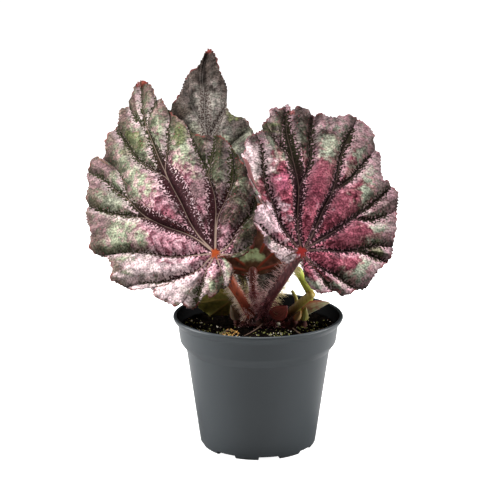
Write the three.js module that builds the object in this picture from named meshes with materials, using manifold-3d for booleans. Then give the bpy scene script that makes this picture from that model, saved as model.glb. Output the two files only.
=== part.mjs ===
// A rex begonia in a 12 cm nursery pot: five leaves on hairy stalks from a rhizome in peat.
// Millimetres, +Z up. The origin is the middle of the pot's underside, -Y is the front.
import * as THREE from "three";
import { mergeVertices } from "three/addons/utils/BufferGeometryUtils.js";
import Module from "manifold-3d";

const wasm = await Module();
wasm.setup();

// Pot sizes
const POT = {
  height: 94.5,
  lipRadius: 60,
  lipDrop: 6,
  bandTopRadius: 56.6,
  bandFootRadius: 55.1,
  bandFoot: 76.3,
  ledgeFoot: 70.3,
  shoulderRadius: 50.7,
  footRadius: 39.6,
  wall: 1.2,
  segments: 40,
};
// Roundings of the pot's profile, each [inwards, up or down]
const ROUND = {
  foot: [1.5, 2],
  ledgeLow: [0.6, 0.9],
  ledgeHigh: 0.4,
  lipHang: [0.8, 3.2],
  lipRoll: 1.2,
  lipTop: 0.6,
  lipInner: [2.4, 0.1],
  lipThroat: [3.4, 1.6],
  lipDeep: [0.2, 1],
  innerLedge: 0.6,
};
const FEET = {
  count: 8,
  height: 2.6,
  channelWidth: 15,
  grooveInner: 14,
  grooveOuter: 25,
  channelInset: 4,
  channelPast: 6,
  grooveSlope: 1,
  holeRadius: 3.2,
  holeRing: 31,
  holeSides: 12,
  turn: 11.5,
};
// How far a cutter reaches past what it cuts
const PAST = 1;

// Gap between pieces that touch, and the thickness of the leaf blades
const GAP = 0.3;
const BLADE = 0.9;

// Peat: a low mound, its lumps as waves along x and y, and its clearance from the pot
const SOIL = {
  top: 85.3,
  mound: 0.6,
  moundRadius: 30,
  lumps: 1,
  waves: { x: 0.31, xShift: 1.1, y: 0.27, yShift: -0.6 },
  fineWaves: { share: 0.6, x: 0.43, y: 0.55 },
  rings: [0, 8, 16, 24, 32, 40, 48],
  slack: 0.1,
  rimLift: 0.8,
};
const RHIZOME = { radius: 8, length: 36, middle: [9, 0, 84.8], sides: 14, capSteps: 4 };

// How strongly the blade puffs up between two veins, as a share of their distance
const PLEAT = 0.15;
const PLEAT_FLAT = 4;
const PLEAT_FULL = 16;

// Leaves. A blade lies in its own plane: at is where the stalk meets it, face is the way its
// upper side looks, and tip the way its midrib runs. The edge is given by its teeth and bays,
// [right, up] of the stalk. A vein is a list of [bearing from the tip in degrees, distance],
// and a branch starts on the vein named by from. bow is how far the blade falls back 100 mm
// out, and a curl is [bearing, half width, where it starts, rise 50 mm further out].
const LEAF_LEFT = {
  name: "leaf_left",
  at: [-29.4, -14, 141.3],
  face: [-0.2, -0.86, 0.42],
  tip: [-0.389, 0.476, 0.789],
  bow: 15,
  curls: [[62, 28, 25, -9], [-150, 50, 12, 9]],
  edge: [
    [-5, 158], [-9, 156], [-19, 142], [-26, 140], [-29, 133], [-33, 129], [-44, 120], [-48, 110],
    [-53, 109], [-55, 113], [-61, 110], [-66, 103], [-67, 93], [-72, 84], [-77, 66], [-76, 61],
    [-77, 56], [-82, 46], [-77, 38], [-73, 35], [-73, 20], [-76, 18], [-70, 10], [-64, 3],
    [-57, 0], [-53, 0], [-50, -5], [-50, -10], [-43, -19], [-38, -24], [-35, -22], [-31, -29],
    [-22, -26], [-16, -25], [-15, -28], [-10, -27], [-6, -25], [-1, -25], [3, -22], [7, -16],
    [4, -6], [1, -4], [5, -5], [18, -10], [27, -5], [36, 8], [41, 28], [43, 46], [39, 68],
    [38, 74], [33, 83], [24, 86], [16, 95], [14, 106], [11, 110], [6, 125], [5, 133], [2, 133],
    [1, 149],
  ],
  veins: {
    mid: { path: [[-20, 16], [-11, 43], [-9, 69], [-7, 97], [-6, 118], [-2, 158]] },
    high: { from: "mid", path: [[-9, 69], [-13, 79], [-16, 95], [-15, 124], [-15, 140]] },
    west: { path: [[-23, 14], [-33, 34], [-36, 61], [-33, 81], [-30, 107], [-29, 124]] },
    west_low: { from: "west", path: [[-36, 61], [-43, 84], [-45, 105]] },
    level: { path: [[-77, 6], [-65, 28], [-64, 46], [-60, 66], [-59, 92]] },
    low: { path: [[-104, 13], [-97, 27], [-94, 37], [-90, 57]] },
    south: { path: [[-116, 12], [-128, 24], [-127, 35], [-132, 44]] },
    foot: { path: [[-175, 5], [-178, 15], [-168, 27]] },
    east: { path: [[22, 20], [23, 31], [21, 42], [16, 58], [11, 80], [9, 98]] },
    east_fork: { from: "east", path: [[16, 58], [20, 75], [21, 89]] },
    east_low: { path: [[25, 26], [33, 37], [35, 53], [28, 84]] },
    right: { path: [[100, 3], [67, 19], [66, 34], [55, 50]] },
    right_low: { path: [[125, 8], [106, 21], [100, 28]] },
  },
};
const LEAF_RIGHT = {
  name: "leaf_right",
  at: [29.3, -30, 146.2],
  face: [0.16, -0.87, 0.42],
  tip: [-0.082, 0.421, 0.903],
  bow: 13,
  curls: [[-75, 24, 14, 16], [140, 40, 14, 9], [0, 12, 60, -8]],
  edge: [
    [5, 112], [6, 106], [11, 109], [22, 101], [25, 102], [30, 98], [45, 99], [52, 98], [61, 85],
    [61, 78], [64, 70], [63, 61], [64, 49], [68, 49], [73, 40], [71, 26], [67, 10], [64, -2],
    [62, -7], [51, -16], [46, -22], [41, -28], [36, -28], [32, -30], [25, -32], [24, -28],
    [16, -29], [9, -29], [4, -24], [2, -19], [0, -12], [-2, -4], [-8, -7], [-13, -6], [-18, -2],
    [-26, 7], [-25, 11], [-30, 19], [-30, 28], [-27, 33], [-24, 34], [-26, 39], [-31, 48],
    [-32, 55], [-31, 63], [-35, 70], [-32, 74], [-31, 82], [-24, 87], [-16, 92], [-17, 94],
    [-11, 101], [-8, 108], [-2, 108],
  ],
  veins: {
    mid: { path: [[-2, 3], [3, 25], [3, 45], [2, 64], [0, 83], [3, 112]] },
    mid_west: { from: "mid", path: [[3, 45], [-5, 67], [-5, 106]] },
    mid_east: { from: "mid", path: [[2, 59], [10, 83], [13, 105]] },
    north: { path: [[42, 10], [34, 25], [33, 43], [32, 54], [30, 63], [27, 111]] },
    north_fork: { from: "north", path: [[32, 54], [38, 66], [39, 79], [42, 97]] },
    east: { path: [[64, 9], [60, 29], [62, 46], [58, 61], [60, 83]] },
    east_fork: { from: "east", path: [[62, 46], [68, 57], [71, 75]] },
    level: { path: [[81, 12], [89, 25], [90, 41], [86, 52], [83, 68]] },
    level_fork: { from: "level", path: [[90, 43], [96, 53], [97, 63]] },
    low: { path: [[136, 5], [123, 18], [124, 29], [125, 50]] },
    south: { path: [[168, 6], [142, 17], [144, 24], [149, 36]] },
    west: { path: [[-27, 7], [-29, 22], [-27, 35], [-23, 47], [-19, 67], [-15, 92]] },
    west_fork: { from: "west", path: [[-27, 35], [-30, 50], [-31, 62]] },
    west_low: { path: [[-50, 7], [-69, 14], [-65, 24], [-59, 33]] },
    lobe: { path: [[-95, 6], [-110, 14]] },
  },
};
const LEAF_BACK = {
  name: "leaf_back",
  at: [-19.6, 36, 137.2],
  face: [0.02, -0.93, 0.36],
  tip: [-0.115, 0.356, 0.927],
  bow: 11,
  curls: [[28, 14, 70, 10], [0, 14, 95, -7]],
  edge: [
    [0, 155], [5, 147], [6, 136], [10, 118], [8, 113], [8, 108], [10, 98], [14, 94], [21, 91],
    [26, 80], [32, 73], [37, 62], [41, 48], [45, 34], [47, 20], [49, 5], [48, -9], [43, -21],
    [35, -32], [26, -37], [18, -39], [12, -37], [10.5, -32], [9.3, -26], [8, -20], [5, -13],
    [2.5, -7], [1, -4.4], [0.6, -8], [-0.2, -14], [-0.9, -18], [-0.4, -22], [0.6, -27],
    [0.4, -33], [-5, -38], [-13, -39], [-22, -36], [-32, -29], [-41, -19], [-47, -6],
    [-51, 8], [-53, 22], [-53, 36], [-52, 52], [-50, 69], [-46, 83], [-41, 95], [-32, 108],
    [-23, 122], [-21, 127], [-17, 134], [-9, 140], [-5, 147],
  ],
  veins: {
    mid: { path: [[-5, 32], [-6, 63], [-6, 92], [-4, 106], [-3, 133], [0, 155]] },
    high_east: { from: "mid", path: [[-6, 76], [-2, 86], [5, 104]] },
    high_west: { from: "mid", path: [[-6, 87], [-9, 103], [-10, 125]] },
    low_east: { from: "mid", path: [[-6, 54], [10, 78], [17, 90]] },
    low_west: { from: "mid", path: [[-7, 58], [-15, 87], [-18, 110]] },
    east: { path: [[20, 20], [28, 50], [27, 79]] },
    east_low: { path: [[45, 15], [46, 35], [44, 60]] },
    right: { path: [[76, 10], [73, 46]] },
    right_foot: { path: [[107, 8], [105, 46]] },
    right_lobe: { path: [[134, 8], [136, 42]] },
    west: { path: [[-25, 20], [-29, 50], [-29, 96]] },
    west_low: { path: [[-45, 15], [-46, 40], [-44, 75]] },
    left: { path: [[-75, 10], [-71, 50]] },
    left_foot: { path: [[-106, 8], [-104, 50]] },
    left_lobe: { path: [[-136, 8], [-138, 42]] },
  },
};
const LEAF_CENTRE = {
  name: "leaf_centre",
  at: [-3.6, 18, 120.5],
  face: [0.05, 0.95, -0.3],
  tip: [-0.05, 0.3, 0.95],
  bow: 4,
  curls: [],
  edge: [
    [0, 56], [5, 49], [9, 48], [13, 41], [18, 37], [20, 29], [24, 23], [23, 15], [25, 8],
    [21, 5], [18, 1.5], [10, -1.2], [4, -2.4], [0, -2.2], [-4, -2.4], [-10, -1.2], [-18, 1.5],
    [-21, 5], [-25, 9], [-23, 15], [-24, 23], [-20, 29], [-18, 37], [-13, 41], [-9, 48], [-5, 49],
  ],
  veins: {
    mid: { path: [[0, 5], [0, 56]] },
    right_high: { path: [[24, 6], [26, 41]] },
    right: { path: [[50, 6], [52, 31]] },
    right_low: { path: [[78, 6], [76, 25]] },
    left_high: { path: [[-24, 6], [-26, 41]] },
    left: { path: [[-50, 6], [-52, 31]] },
    left_low: { path: [[-78, 6], [-76, 25]] },
  },
};
const LEAF_LOW = {
  name: "leaf_low",
  at: [-17.5, 5, 104],
  face: [-0.15, 0.95, 0.3],
  tip: [-0.97, -0.12, -0.05],
  bow: 3,
  curls: [[60, 30, 4, 4]],
  edge: [
    [0, 28], [4, 25], [7, 24], [10, 20], [13, 17], [14, 11], [14, 5], [11, 0], [8, -4], [3, -4.5],
    [0, -2.2], [-3, -4], [-8, -3], [-9, 2], [-12, 6], [-11, 11], [-11, 17], [-8, 19], [-6, 24],
    [-3, 25],
  ],
  veins: {
    mid: { path: [[0, 4], [0, 29]] },
    upper: { path: [[38, 4], [36, 20]] },
    upper_low: { path: [[80, 4], [76, 11]] },
    lower: { path: [[-38, 4], [-36, 20]] },
    lower_low: { path: [[-80, 4], [-76, 11]] },
  },
};

// Stalks. foot is where the stalk leaves the rhizome's collar, and way its direction there.
const STALKS = {
  leaf_left: {
    radius: 3.4,
    foot: [-5, -6, 94.8],
    way: [-0.4, -0.3, 0.86],
    bends: [[-11.5, -10.5, 108.6], [-18, -13, 119.5]],
  },
  leaf_right: {
    radius: 3.5,
    foot: [3.2, -7.8, 96],
    way: [0.25, -0.25, 0.93],
    bends: [[7.5, -12, 108], [14.4, -17, 120.1]],
  },
  leaf_back: {
    radius: 3,
    foot: [-9, 5.5, 94],
    way: [-0.04, 0.6, 0.8],
    bends: [[-10, 22, 109], [-16, 36.5, 124]],
  },
  leaf_centre: {
    radius: 2.7,
    foot: [-1, 2.5, 96],
    way: [-0.15, 0.15, 0.97],
    bends: [[-3, 4.5, 105], [-3.6, 9, 114]],
  },
  leaf_low: { radius: 1.6, foot: [-13.5, 1.5, 92.6], way: [-0.25, 0, 0.97], bends: [] },
};
// How far under the blade the stalk turns up to meet it
const STALK_TURN = 7;
const STALK_SIDES = 8;
const STALK_STEPS = 12;
const STUMP_STEPS = 8;
// Straight run of a stalk at its foot and square to its blade
const STALK_FOOT_RUN = 4;
const STALK_TOP_RUN = 1.5;
// A collar on the rhizome is this much wider than what grows from it
const COLLAR = { extra: 0.7, depth: 7 };

// Stalks that carry no leaf: the stump of a cut leaf, an old yellow stalk and a young shoot
const STUMPS = [
  { name: "cut_stalk", radius: 2.9, colour: 0x6f6026,
    path: [[20, -3.9, 94], [24.3, -6.2, 98.8], [29.7, -9, 104.5], [37.7, -14, 113]] },
  { name: "old_stalk", radius: 3, colour: 0x8a8c2c,
    path: [[27.5, 4.2, 93.6], [33.5, 6.2, 99], [36.8, 8, 106.4], [33, 8, 115], [27.1, 5, 125.9]] },
  { name: "shoot", radius: 1.2, colour: 0x8f9440,
    path: [[22.8, 0.4, 95], [25.6, 0.6, 99], [27, 2, 104], [23.8, 4, 110.4]] },
];

// Bracts and the folded young leaf: foot, the way it points, the way its back looks,
// length, width and how deeply its sides fold up
const BRACTS = [
  { name: "stipule_red", colour: 0x6b1c1e, foot: [8.8, -9.8, 94.5], way: [0.74, -0.3, 0.6],
    back: [0.3, 0.8, 0.5], length: 15, width: 12.5, fold: 0.3, sharp: 0.8 },
  { name: "stipule_green", colour: 0x5a6a22, foot: [32, -6, 90.5], way: [0.12, 0.1, 0.98],
    back: [0.1, -0.95, -0.2], length: 10, width: 6.5, fold: 0.4, sharp: 0.5 },
  { name: "stipule_cream", colour: 0xa08a5a, foot: [26.2, -7, 91], way: [0.38, -0.3, 0.87],
    back: [0, -0.9, -0.4], length: 9, width: 5, fold: 0.4, sharp: 0.6 },
  { name: "stipule_low", colour: 0x5c4a3c, foot: [-15.5, -4.5, 90.5], way: [-0.25, -0.3, 0.92],
    back: [-0.1, -0.9, -0.3], length: 13, width: 6.5, fold: 0.3, sharp: 0.5 },
  { name: "young_leaf", colour: 0x8b8a4c, foot: [33, 0.5, 92.6], way: [0.83, -0.17, 0.54],
    back: [0.5, -0.6, -0.65], length: 20, width: 12, fold: 1, sharp: 0.6 },
];
const BRACT_ROWS = 6;
const BRACT_COLUMNS = 4;
const BRACT_THICKNESS = 0.7;
// Half width of a bract at its foot and its point, and the radius it needs on the rhizome
const BRACT_FOOT = 1.2;
const BRACT_POINT = 0.5;
const BRACT_FULLNESS = 0.8;

const COLOURS = {
  pot: 0x5b6064,
  soil: 0x1d1612,
  rhizome: 0x3a211c,
  leaf_left: [0x9c7d86, 0x8c3d22],
  leaf_right: [0x94647c, 0x3d2026],
  leaf_back: [0x77716c, 0x4a2a26],
  leaf_centre: [0x6f4a3c, 0x6a2420],
  leaf_low: [0x4c5020, 0x5a4a2a],
};

const vec = (list) => new THREE.Vector3(...list);

function finish(colour, roughness) {
  return new THREE.MeshStandardMaterial({ color: colour, roughness, metalness: 0 });
}

// Joining and cutting of closed meshes
function merged(geometry) {
  const bare = geometry.clone();
  bare.deleteAttribute("normal");
  bare.deleteAttribute("uv");
  return mergeVertices(bare, 1e-4);
}

function toSolid(geometry) {
  const bare = merged(geometry);
  return new wasm.Manifold(new wasm.Mesh({
    numProp: 3,
    vertProperties: new Float32Array(bare.attributes.position.array),
    triVerts: new Uint32Array(bare.index.array),
  }));
}

function toGeometry(solid) {
  const mesh = solid.getMesh();
  const geometry = new THREE.BufferGeometry();
  geometry.setAttribute("position", new THREE.BufferAttribute(mesh.vertProperties, 3));
  geometry.setIndex(new THREE.BufferAttribute(mesh.triVerts, 1));
  geometry.computeVertexNormals();
  return geometry;
}

// A round body from its profile of [radius, height] points, standing on Z
function turned(profile, segments) {
  const points = profile.map(([r, z]) => new THREE.Vector2(r, z));
  return new THREE.LatheGeometry(points, segments).rotateX(Math.PI / 2);
}

// A round bar along a curve
function bar(curve, radius, sides, steps) {
  const circle = new THREE.EllipseCurve(0, 0, radius, radius).getPoints(sides).slice(0, sides);
  return new THREE.ExtrudeGeometry(new THREE.Shape(circle), { steps, bevelEnabled: false, extrudePath: curve });
}

// Gives an open surface its thickness: both faces are split into the same triangles
function thicken(points, triangles, thickness) {
  const normals = points.map(() => new THREE.Vector3());
  const edges = new Map();
  for (const [a, b, c] of triangles) {
    const cross = points[b].clone().sub(points[a]).cross(points[c].clone().sub(points[a]));
    for (const corner of [a, b, c]) normals[corner].add(cross);
    for (const [from, to] of [[a, b], [b, c], [c, a]]) edges.set(`${from} ${to}`, [from, to]);
  }
  const count = points.length;
  const position = [];
  for (const side of [0.5, -0.5]) {
    points.forEach((point, i) => {
      position.push(...point.clone().addScaledVector(normals[i].clone().normalize(), side * thickness));
    });
  }
  const index = triangles.flatMap(([a, b, c]) => [a, b, c, a + count, c + count, b + count]);
  for (const [from, to] of edges.values()) {
    if (edges.has(`${to} ${from}`)) continue;
    index.push(to, from, from + count, to, from + count, to + count);
  }
  const geometry = new THREE.BufferGeometry();
  geometry.setAttribute("position", new THREE.Float32BufferAttribute(position, 3));
  geometry.setIndex(index);
  return geometry;
}

// Bearing of a vein at a distance from the stalk; before a branch leaves, it is its parent's
function veinBearing(veins, vein, distance) {
  const path = vein.path;
  if (distance <= path[0][1] && vein.from) return veinBearing(veins, veins[vein.from], distance);
  let last = path[0];
  for (const point of path) {
    if (point[1] >= distance) {
      const share = (distance - last[1]) / Math.max(point[1] - last[1], 1e-6);
      return last[0] + (point[0] - last[0]) * THREE.MathUtils.clamp(share, 0, 1);
    }
    last = point;
  }
  return last[0];
}

// Height of the blade over its plane: bowed back, curled, and puffed up between the veins
function bladeHeight(leaf, bearing, distance) {
  let height = -leaf.bow * (distance / 100) ** 2;
  for (const [middle, spread, start, rise] of leaf.curls) {
    const off = THREE.MathUtils.euclideanModulo(bearing - middle + 180, 360) - 180;
    height += rise * Math.exp(-((off / spread) ** 2)) * (Math.max(0, distance - start) / 50) ** 1.5;
  }
  const bearings = Object.values(leaf.veins).map((vein) => veinBearing(leaf.veins, vein, distance));
  const ahead = Math.min(...bearings.map((b) => THREE.MathUtils.euclideanModulo(b - bearing, 360)));
  const behind = Math.min(...bearings.map((b) => THREE.MathUtils.euclideanModulo(bearing - b, 360)));
  const width = THREE.MathUtils.degToRad(ahead + behind) * distance;
  const bulge = PLEAT * Math.min(width, 40) * Math.sin((Math.PI * behind) / Math.max(ahead + behind, 1e-6));
  return height + bulge * THREE.MathUtils.smoothstep(distance, PLEAT_FLAT, PLEAT_FULL);
}

// The leaf's own frame: x to the right, y along the midrib, z out of its upper side
function leafFrame(leaf) {
  const z = vec(leaf.face).normalize();
  const y = vec(leaf.tip).addScaledVector(z, -vec(leaf.tip).dot(z)).normalize();
  return new THREE.Matrix4().makeBasis(y.clone().cross(z), y, z).setPosition(vec(leaf.at));
}

// A blade is a fan of columns from the stalk to the edge, two to each tooth or bay
function blade(leaf, rows) {
  const edge = new THREE.CatmullRomCurve3(leaf.edge.map(([x, y]) => new THREE.Vector3(x, y, 0)), true);
  const columns = 2 * leaf.edge.length;
  const rim = edge.getPoints(columns).slice(0, columns);
  const points = [new THREE.Vector3()];
  for (const share of rows) {
    for (const end of rim) {
      const point = end.clone().multiplyScalar(share);
      const bearing = THREE.MathUtils.radToDeg(Math.atan2(point.x, point.y));
      point.z = bladeHeight(leaf, bearing, Math.hypot(point.x, point.y));
      points.push(point);
    }
  }
  const triangles = [];
  for (let c = 0; c < columns; c += 1) {
    const next = (c + 1) % columns;
    triangles.push([0, 1 + c, 1 + next]);
    for (let r = 1; r < rows.length; r += 1) {
      const inner = 1 + (r - 1) * columns;
      const outer = inner + columns;
      triangles.push([inner + c, outer + c, outer + next], [inner + c, outer + next, inner + next]);
    }
  }
  return thicken(points, triangles, BLADE).applyMatrix4(leafFrame(leaf));
}

// A stalk rises from its collar, bends, and turns square to the blade's underside
function stalk(leaf) {
  const form = STALKS[leaf.name];
  const way = vec(form.way).normalize();
  const face = vec(leaf.face).normalize();
  const top = vec(leaf.at).addScaledVector(face, -(BLADE / 2 + GAP));
  const path = new THREE.CatmullRomCurve3([
    vec(form.foot).addScaledVector(way, GAP),
    vec(form.foot).addScaledVector(way, STALK_FOOT_RUN),
    ...form.bends.map(vec),
    top.clone().addScaledVector(face, -STALK_TURN),
    top.clone().addScaledVector(face, -STALK_TOP_RUN),
    top,
  ]);
  return bar(path, form.radius, STALK_SIDES, STALK_STEPS);
}

// A bract: pointed, its sides folded up about its middle line
function bract(form) {
  const way = vec(form.way).normalize();
  const back = vec(form.back).addScaledVector(way, -vec(form.back).dot(way)).normalize();
  const side = way.clone().cross(back);
  const points = [];
  for (let r = 0; r <= BRACT_ROWS; r += 1) {
    const along = r / BRACT_ROWS;
    const swell = Math.sin(Math.PI * along ** form.sharp) ** BRACT_FULLNESS;
    const half = Math.max(0.5 * form.width * swell, r === 0 ? BRACT_FOOT : BRACT_POINT);
    for (let c = 0; c <= BRACT_COLUMNS; c += 1) {
      const across = (2 * c) / BRACT_COLUMNS - 1;
      const depth = form.fold * half * across * across;
      const point = vec(form.foot).addScaledVector(way, GAP + form.length * along);
      points.push(point.addScaledVector(side, half * across).addScaledVector(back, -depth));
    }
  }
  const triangles = [];
  const stride = BRACT_COLUMNS + 1;
  for (let r = 0; r < BRACT_ROWS; r += 1) {
    for (let c = 0; c < BRACT_COLUMNS; c += 1) {
      const low = r * stride + c;
      triangles.push([low, low + stride + 1, low + 1], [low, low + stride, low + stride + 1]);
    }
  }
  return thicken(points, triangles, BRACT_THICKNESS);
}

// The rhizome with a collar, a short plug, for each stalk or bract that grows from it; made
// larger all round by extra, it is the hole that it leaves in the peat
function rhizome(extra = 0) {
  const { radius: thick, length, sides, capSteps } = RHIZOME;
  const body = new THREE.CapsuleGeometry(thick + extra, length, capSteps, sides);
  let solid = toSolid(body.rotateZ(Math.PI / 2).translate(...RHIZOME.middle));
  const feet = [
    ...Object.values(STALKS).map((form) => [form.foot, form.way, form.radius]),
    ...BRACTS.map((form) => [form.foot, form.way, BRACT_FOOT]),
    ...STUMPS.map(({ path, radius }) => [path[0], vec(path[1]).sub(vec(path[0])).toArray(), radius]),
  ];
  for (const [foot, way, radius] of feet) {
    const end = vec(foot);
    const start = end.clone().addScaledVector(vec(way).normalize(), -COLLAR.depth - extra);
    const collar = bar(new THREE.LineCurve3(start, end), radius + COLLAR.extra + extra, STALK_SIDES, 1);
    solid = solid.add(toSolid(collar));
  }
  return solid;
}

// Pot wall from the outside of the foot, over the lip and down the inside to the floor
function pot() {
  const { lipRadius: lip, height: top, wall, footRadius, shoulderRadius, bandFootRadius, bandTopRadius } = POT;
  const floor = FEET.height + wall;
  const under = top - POT.lipDrop;
  const profile = [
    [0, 0],
    [footRadius, 0],
    [footRadius + ROUND.foot[0], ROUND.foot[1]],
    [shoulderRadius, POT.ledgeFoot],
    [bandFootRadius - ROUND.ledgeLow[0], POT.bandFoot - ROUND.ledgeLow[1]],
    [bandFootRadius, POT.bandFoot + ROUND.ledgeHigh],
    [bandTopRadius, under],
    [lip - ROUND.lipHang[0], top - ROUND.lipHang[1]],
    [lip, top - ROUND.lipRoll],
    [lip - ROUND.lipTop, top],
    [lip - ROUND.lipInner[0], top - ROUND.lipInner[1]],
    [lip - ROUND.lipThroat[0], top - ROUND.lipThroat[1]],
    [bandTopRadius - wall - ROUND.lipDeep[0], under - ROUND.lipDeep[1]],
    [bandFootRadius - wall, POT.bandFoot + ROUND.innerLedge],
    [shoulderRadius - wall, POT.ledgeFoot + ROUND.innerLedge],
    [footRadius + ROUND.innerLedge, floor],
    [0, floor],
  ];
  let solid = toSolid(turned(profile, POT.segments));
  const groove = [
    [FEET.grooveInner, -PAST],
    [FEET.grooveOuter, -PAST],
    [FEET.grooveOuter - FEET.grooveSlope, FEET.height],
    [FEET.grooveInner + FEET.grooveSlope, FEET.height],
    [FEET.grooveInner, -PAST],
  ];
  solid = solid.subtract(toSolid(turned(groove, POT.segments)));
  const inner = FEET.grooveInner + FEET.channelInset;
  const reach = footRadius + FEET.channelPast - inner;
  for (let i = 0; i < FEET.count; i += 1) {
    const turn = THREE.MathUtils.degToRad(FEET.turn + (360 / FEET.count) * i - 90);
    const channel = new THREE.BoxGeometry(reach, FEET.channelWidth, FEET.height + PAST);
    channel.translate(inner + reach / 2, 0, (FEET.height - PAST) / 2);
    solid = solid.subtract(toSolid(channel.rotateZ(turn)));
    const hole = new THREE.CylinderGeometry(FEET.holeRadius, FEET.holeRadius, 4 * floor, FEET.holeSides);
    solid = solid.subtract(toSolid(hole.rotateX(Math.PI / 2).translate(FEET.holeRing, 0, 0).rotateZ(turn)));
  }
  return toGeometry(solid);
}

// Height of the peat: a low mound with lumps
function soilHeight(x, y) {
  const { waves, fineWaves } = SOIL;
  const mound = SOIL.mound * Math.exp(-((Math.hypot(x, y) / SOIL.moundRadius) ** 2));
  const coarse = Math.sin(waves.x * x + waves.xShift) * Math.cos(waves.y * y + waves.yShift);
  const fine = fineWaves.share * Math.sin(fineWaves.y * y + fineWaves.x * x);
  return SOIL.top + mound + SOIL.lumps * (coarse + fine);
}

function soil() {
  const floor = FEET.height + POT.wall + GAP;
  const off = POT.wall + GAP + SOIL.slack;
  const rim = POT.bandFootRadius - off;
  const profile = [
    [0, floor],
    [POT.footRadius + SOIL.slack, floor],
    [POT.shoulderRadius - off - SOIL.slack, POT.ledgeFoot + SOIL.rimLift],
    [rim, POT.bandFoot + SOIL.rimLift],
    [rim + SOIL.rimLift, SOIL.top],
    ...SOIL.rings.slice().reverse().map((radius) => [radius, SOIL.top]),
  ];
  const body = turned(profile, POT.segments);
  const position = body.attributes.position;
  for (let i = 0; i < position.count; i += 1) {
    if (position.getZ(i) < SOIL.top - SOIL.slack) continue;
    position.setZ(i, soilHeight(position.getX(i), position.getY(i)));
  }
  return toGeometry(toSolid(body).subtract(rhizome(GAP + SOIL.slack)));
}

const plant = new THREE.Group();

function place(name, geometry, material) {
  const mesh = new THREE.Mesh(geometry, material);
  mesh.name = name;
  plant.add(mesh);
}

place("pot", pot(), finish(COLOURS.pot, 0.45));
place("soil", soil(), finish(COLOURS.soil, 0.95));
place("rhizome", toGeometry(rhizome()), finish(COLOURS.rhizome, 0.8));

// Rings of points from the stalk to the edge, as shares of the way
const WIDE_ROWS = [0.16, 0.35, 0.54, 0.72, 0.87, 1];
const SMALL_ROWS = [0.25, 0.5, 0.75, 1];
const SMALL_LEAVES = [LEAF_CENTRE, LEAF_LOW];
for (const leaf of [LEAF_LEFT, LEAF_RIGHT, LEAF_BACK, ...SMALL_LEAVES]) {
  const rows = SMALL_LEAVES.includes(leaf) ? SMALL_ROWS : WIDE_ROWS;
  const [bladeColour, stalkColour] = COLOURS[leaf.name];
  place(`${leaf.name}_blade`, blade(leaf, rows), finish(bladeColour, 0.6));
  place(`${leaf.name}_stalk`, stalk(leaf), finish(stalkColour, 0.6));
}
for (const stump of STUMPS) {
  const [first, second] = stump.path.map(vec);
  const way = second.clone().sub(first).normalize();
  const path = new THREE.CatmullRomCurve3([
    first.clone().addScaledVector(way, GAP), ...stump.path.slice(1).map(vec),
  ]);
  place(stump.name, bar(path, stump.radius, STALK_SIDES, STUMP_STEPS), finish(stump.colour, 0.5));
}
for (const form of BRACTS) place(form.name, bract(form), finish(form.colour, 0.6));

export default plant;
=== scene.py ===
import math
import random

import bmesh
import bpy
import numpy as np
from mathutils import Matrix, Vector, noise


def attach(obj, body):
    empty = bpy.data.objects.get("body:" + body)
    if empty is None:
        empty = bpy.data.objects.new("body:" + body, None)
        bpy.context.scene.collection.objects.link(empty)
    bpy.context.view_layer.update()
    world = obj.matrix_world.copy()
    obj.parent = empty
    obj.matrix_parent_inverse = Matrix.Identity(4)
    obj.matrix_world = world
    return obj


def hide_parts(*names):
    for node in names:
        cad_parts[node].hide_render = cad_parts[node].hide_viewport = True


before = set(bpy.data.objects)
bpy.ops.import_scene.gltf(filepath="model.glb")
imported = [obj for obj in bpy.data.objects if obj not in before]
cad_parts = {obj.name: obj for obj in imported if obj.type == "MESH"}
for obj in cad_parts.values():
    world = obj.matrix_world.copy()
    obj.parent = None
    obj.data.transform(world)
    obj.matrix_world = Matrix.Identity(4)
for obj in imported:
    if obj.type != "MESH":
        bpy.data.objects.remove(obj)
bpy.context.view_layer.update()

# The studio. The plant stands on a wide white sweep that looks pure white, with a large soft box
# on each side, the left one brighter, and the brightest one straight above. The sky looks white
# too, but lights the plant only a little.
SWEEP_SIZE = 9.0
CAMERA_AT = (0.0, -1.0, 0.3747)
CAMERA_DOWN = 13.24
CAMERA_LEFT = 0.327
CAMERA_LENS = 105.34
SKY_STRENGTH = 0.06
SWEEP_GLOW = 1.0
SOFT_BOXES = {
    "soft_box_left": {"at": (-1.25, 0.08, 0.5), "size": 0.6, "watts": 30},
    "soft_box_right": {"at": (1.25, 0.08, 0.5), "size": 0.6, "watts": 24},
    "soft_box_top": {"at": (-0.05, -0.05, 1.5), "size": 0.6, "watts": 36},
}
AIM = Vector((0, 0, 0.13))


def put(tree, kind, inputs=(), **settings):
    """A node of that kind with its settings, its inputs set or linked by name or number."""
    made = tree.nodes.new(kind)
    for key, value in settings.items():
        setattr(made, key, value)
    for key, value in dict(inputs).items():
        if isinstance(value, bpy.types.NodeSocket):
            tree.links.new(value, made.inputs[key])
        else:
            made.inputs[key].default_value = value
    return made


def calc(tree, operation, *values):
    return put(tree, "ShaderNodeMath", dict(enumerate(values)), operation=operation).outputs[0]


def finish(name, sockets):
    """A new material with those shader values; returns it with its node tree and its shader."""
    made = bpy.data.materials.new(name)
    made.use_nodes = True
    shader = made.node_tree.nodes["Principled BSDF"]
    for key, value in sockets.items():
        shader.inputs[key].default_value = value
    return made, made.node_tree, shader


def piece(name, bm, *materials):
    """The object made of that bmesh, at the origin, with its materials."""
    mesh = bpy.data.meshes.new(name)
    bm.to_mesh(mesh)
    bm.free()
    for material in materials:
        mesh.materials.append(material)
    mesh.shade_smooth()
    made = bpy.data.objects.new(name, mesh)
    bpy.context.scene.collection.objects.link(made)
    return made


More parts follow.
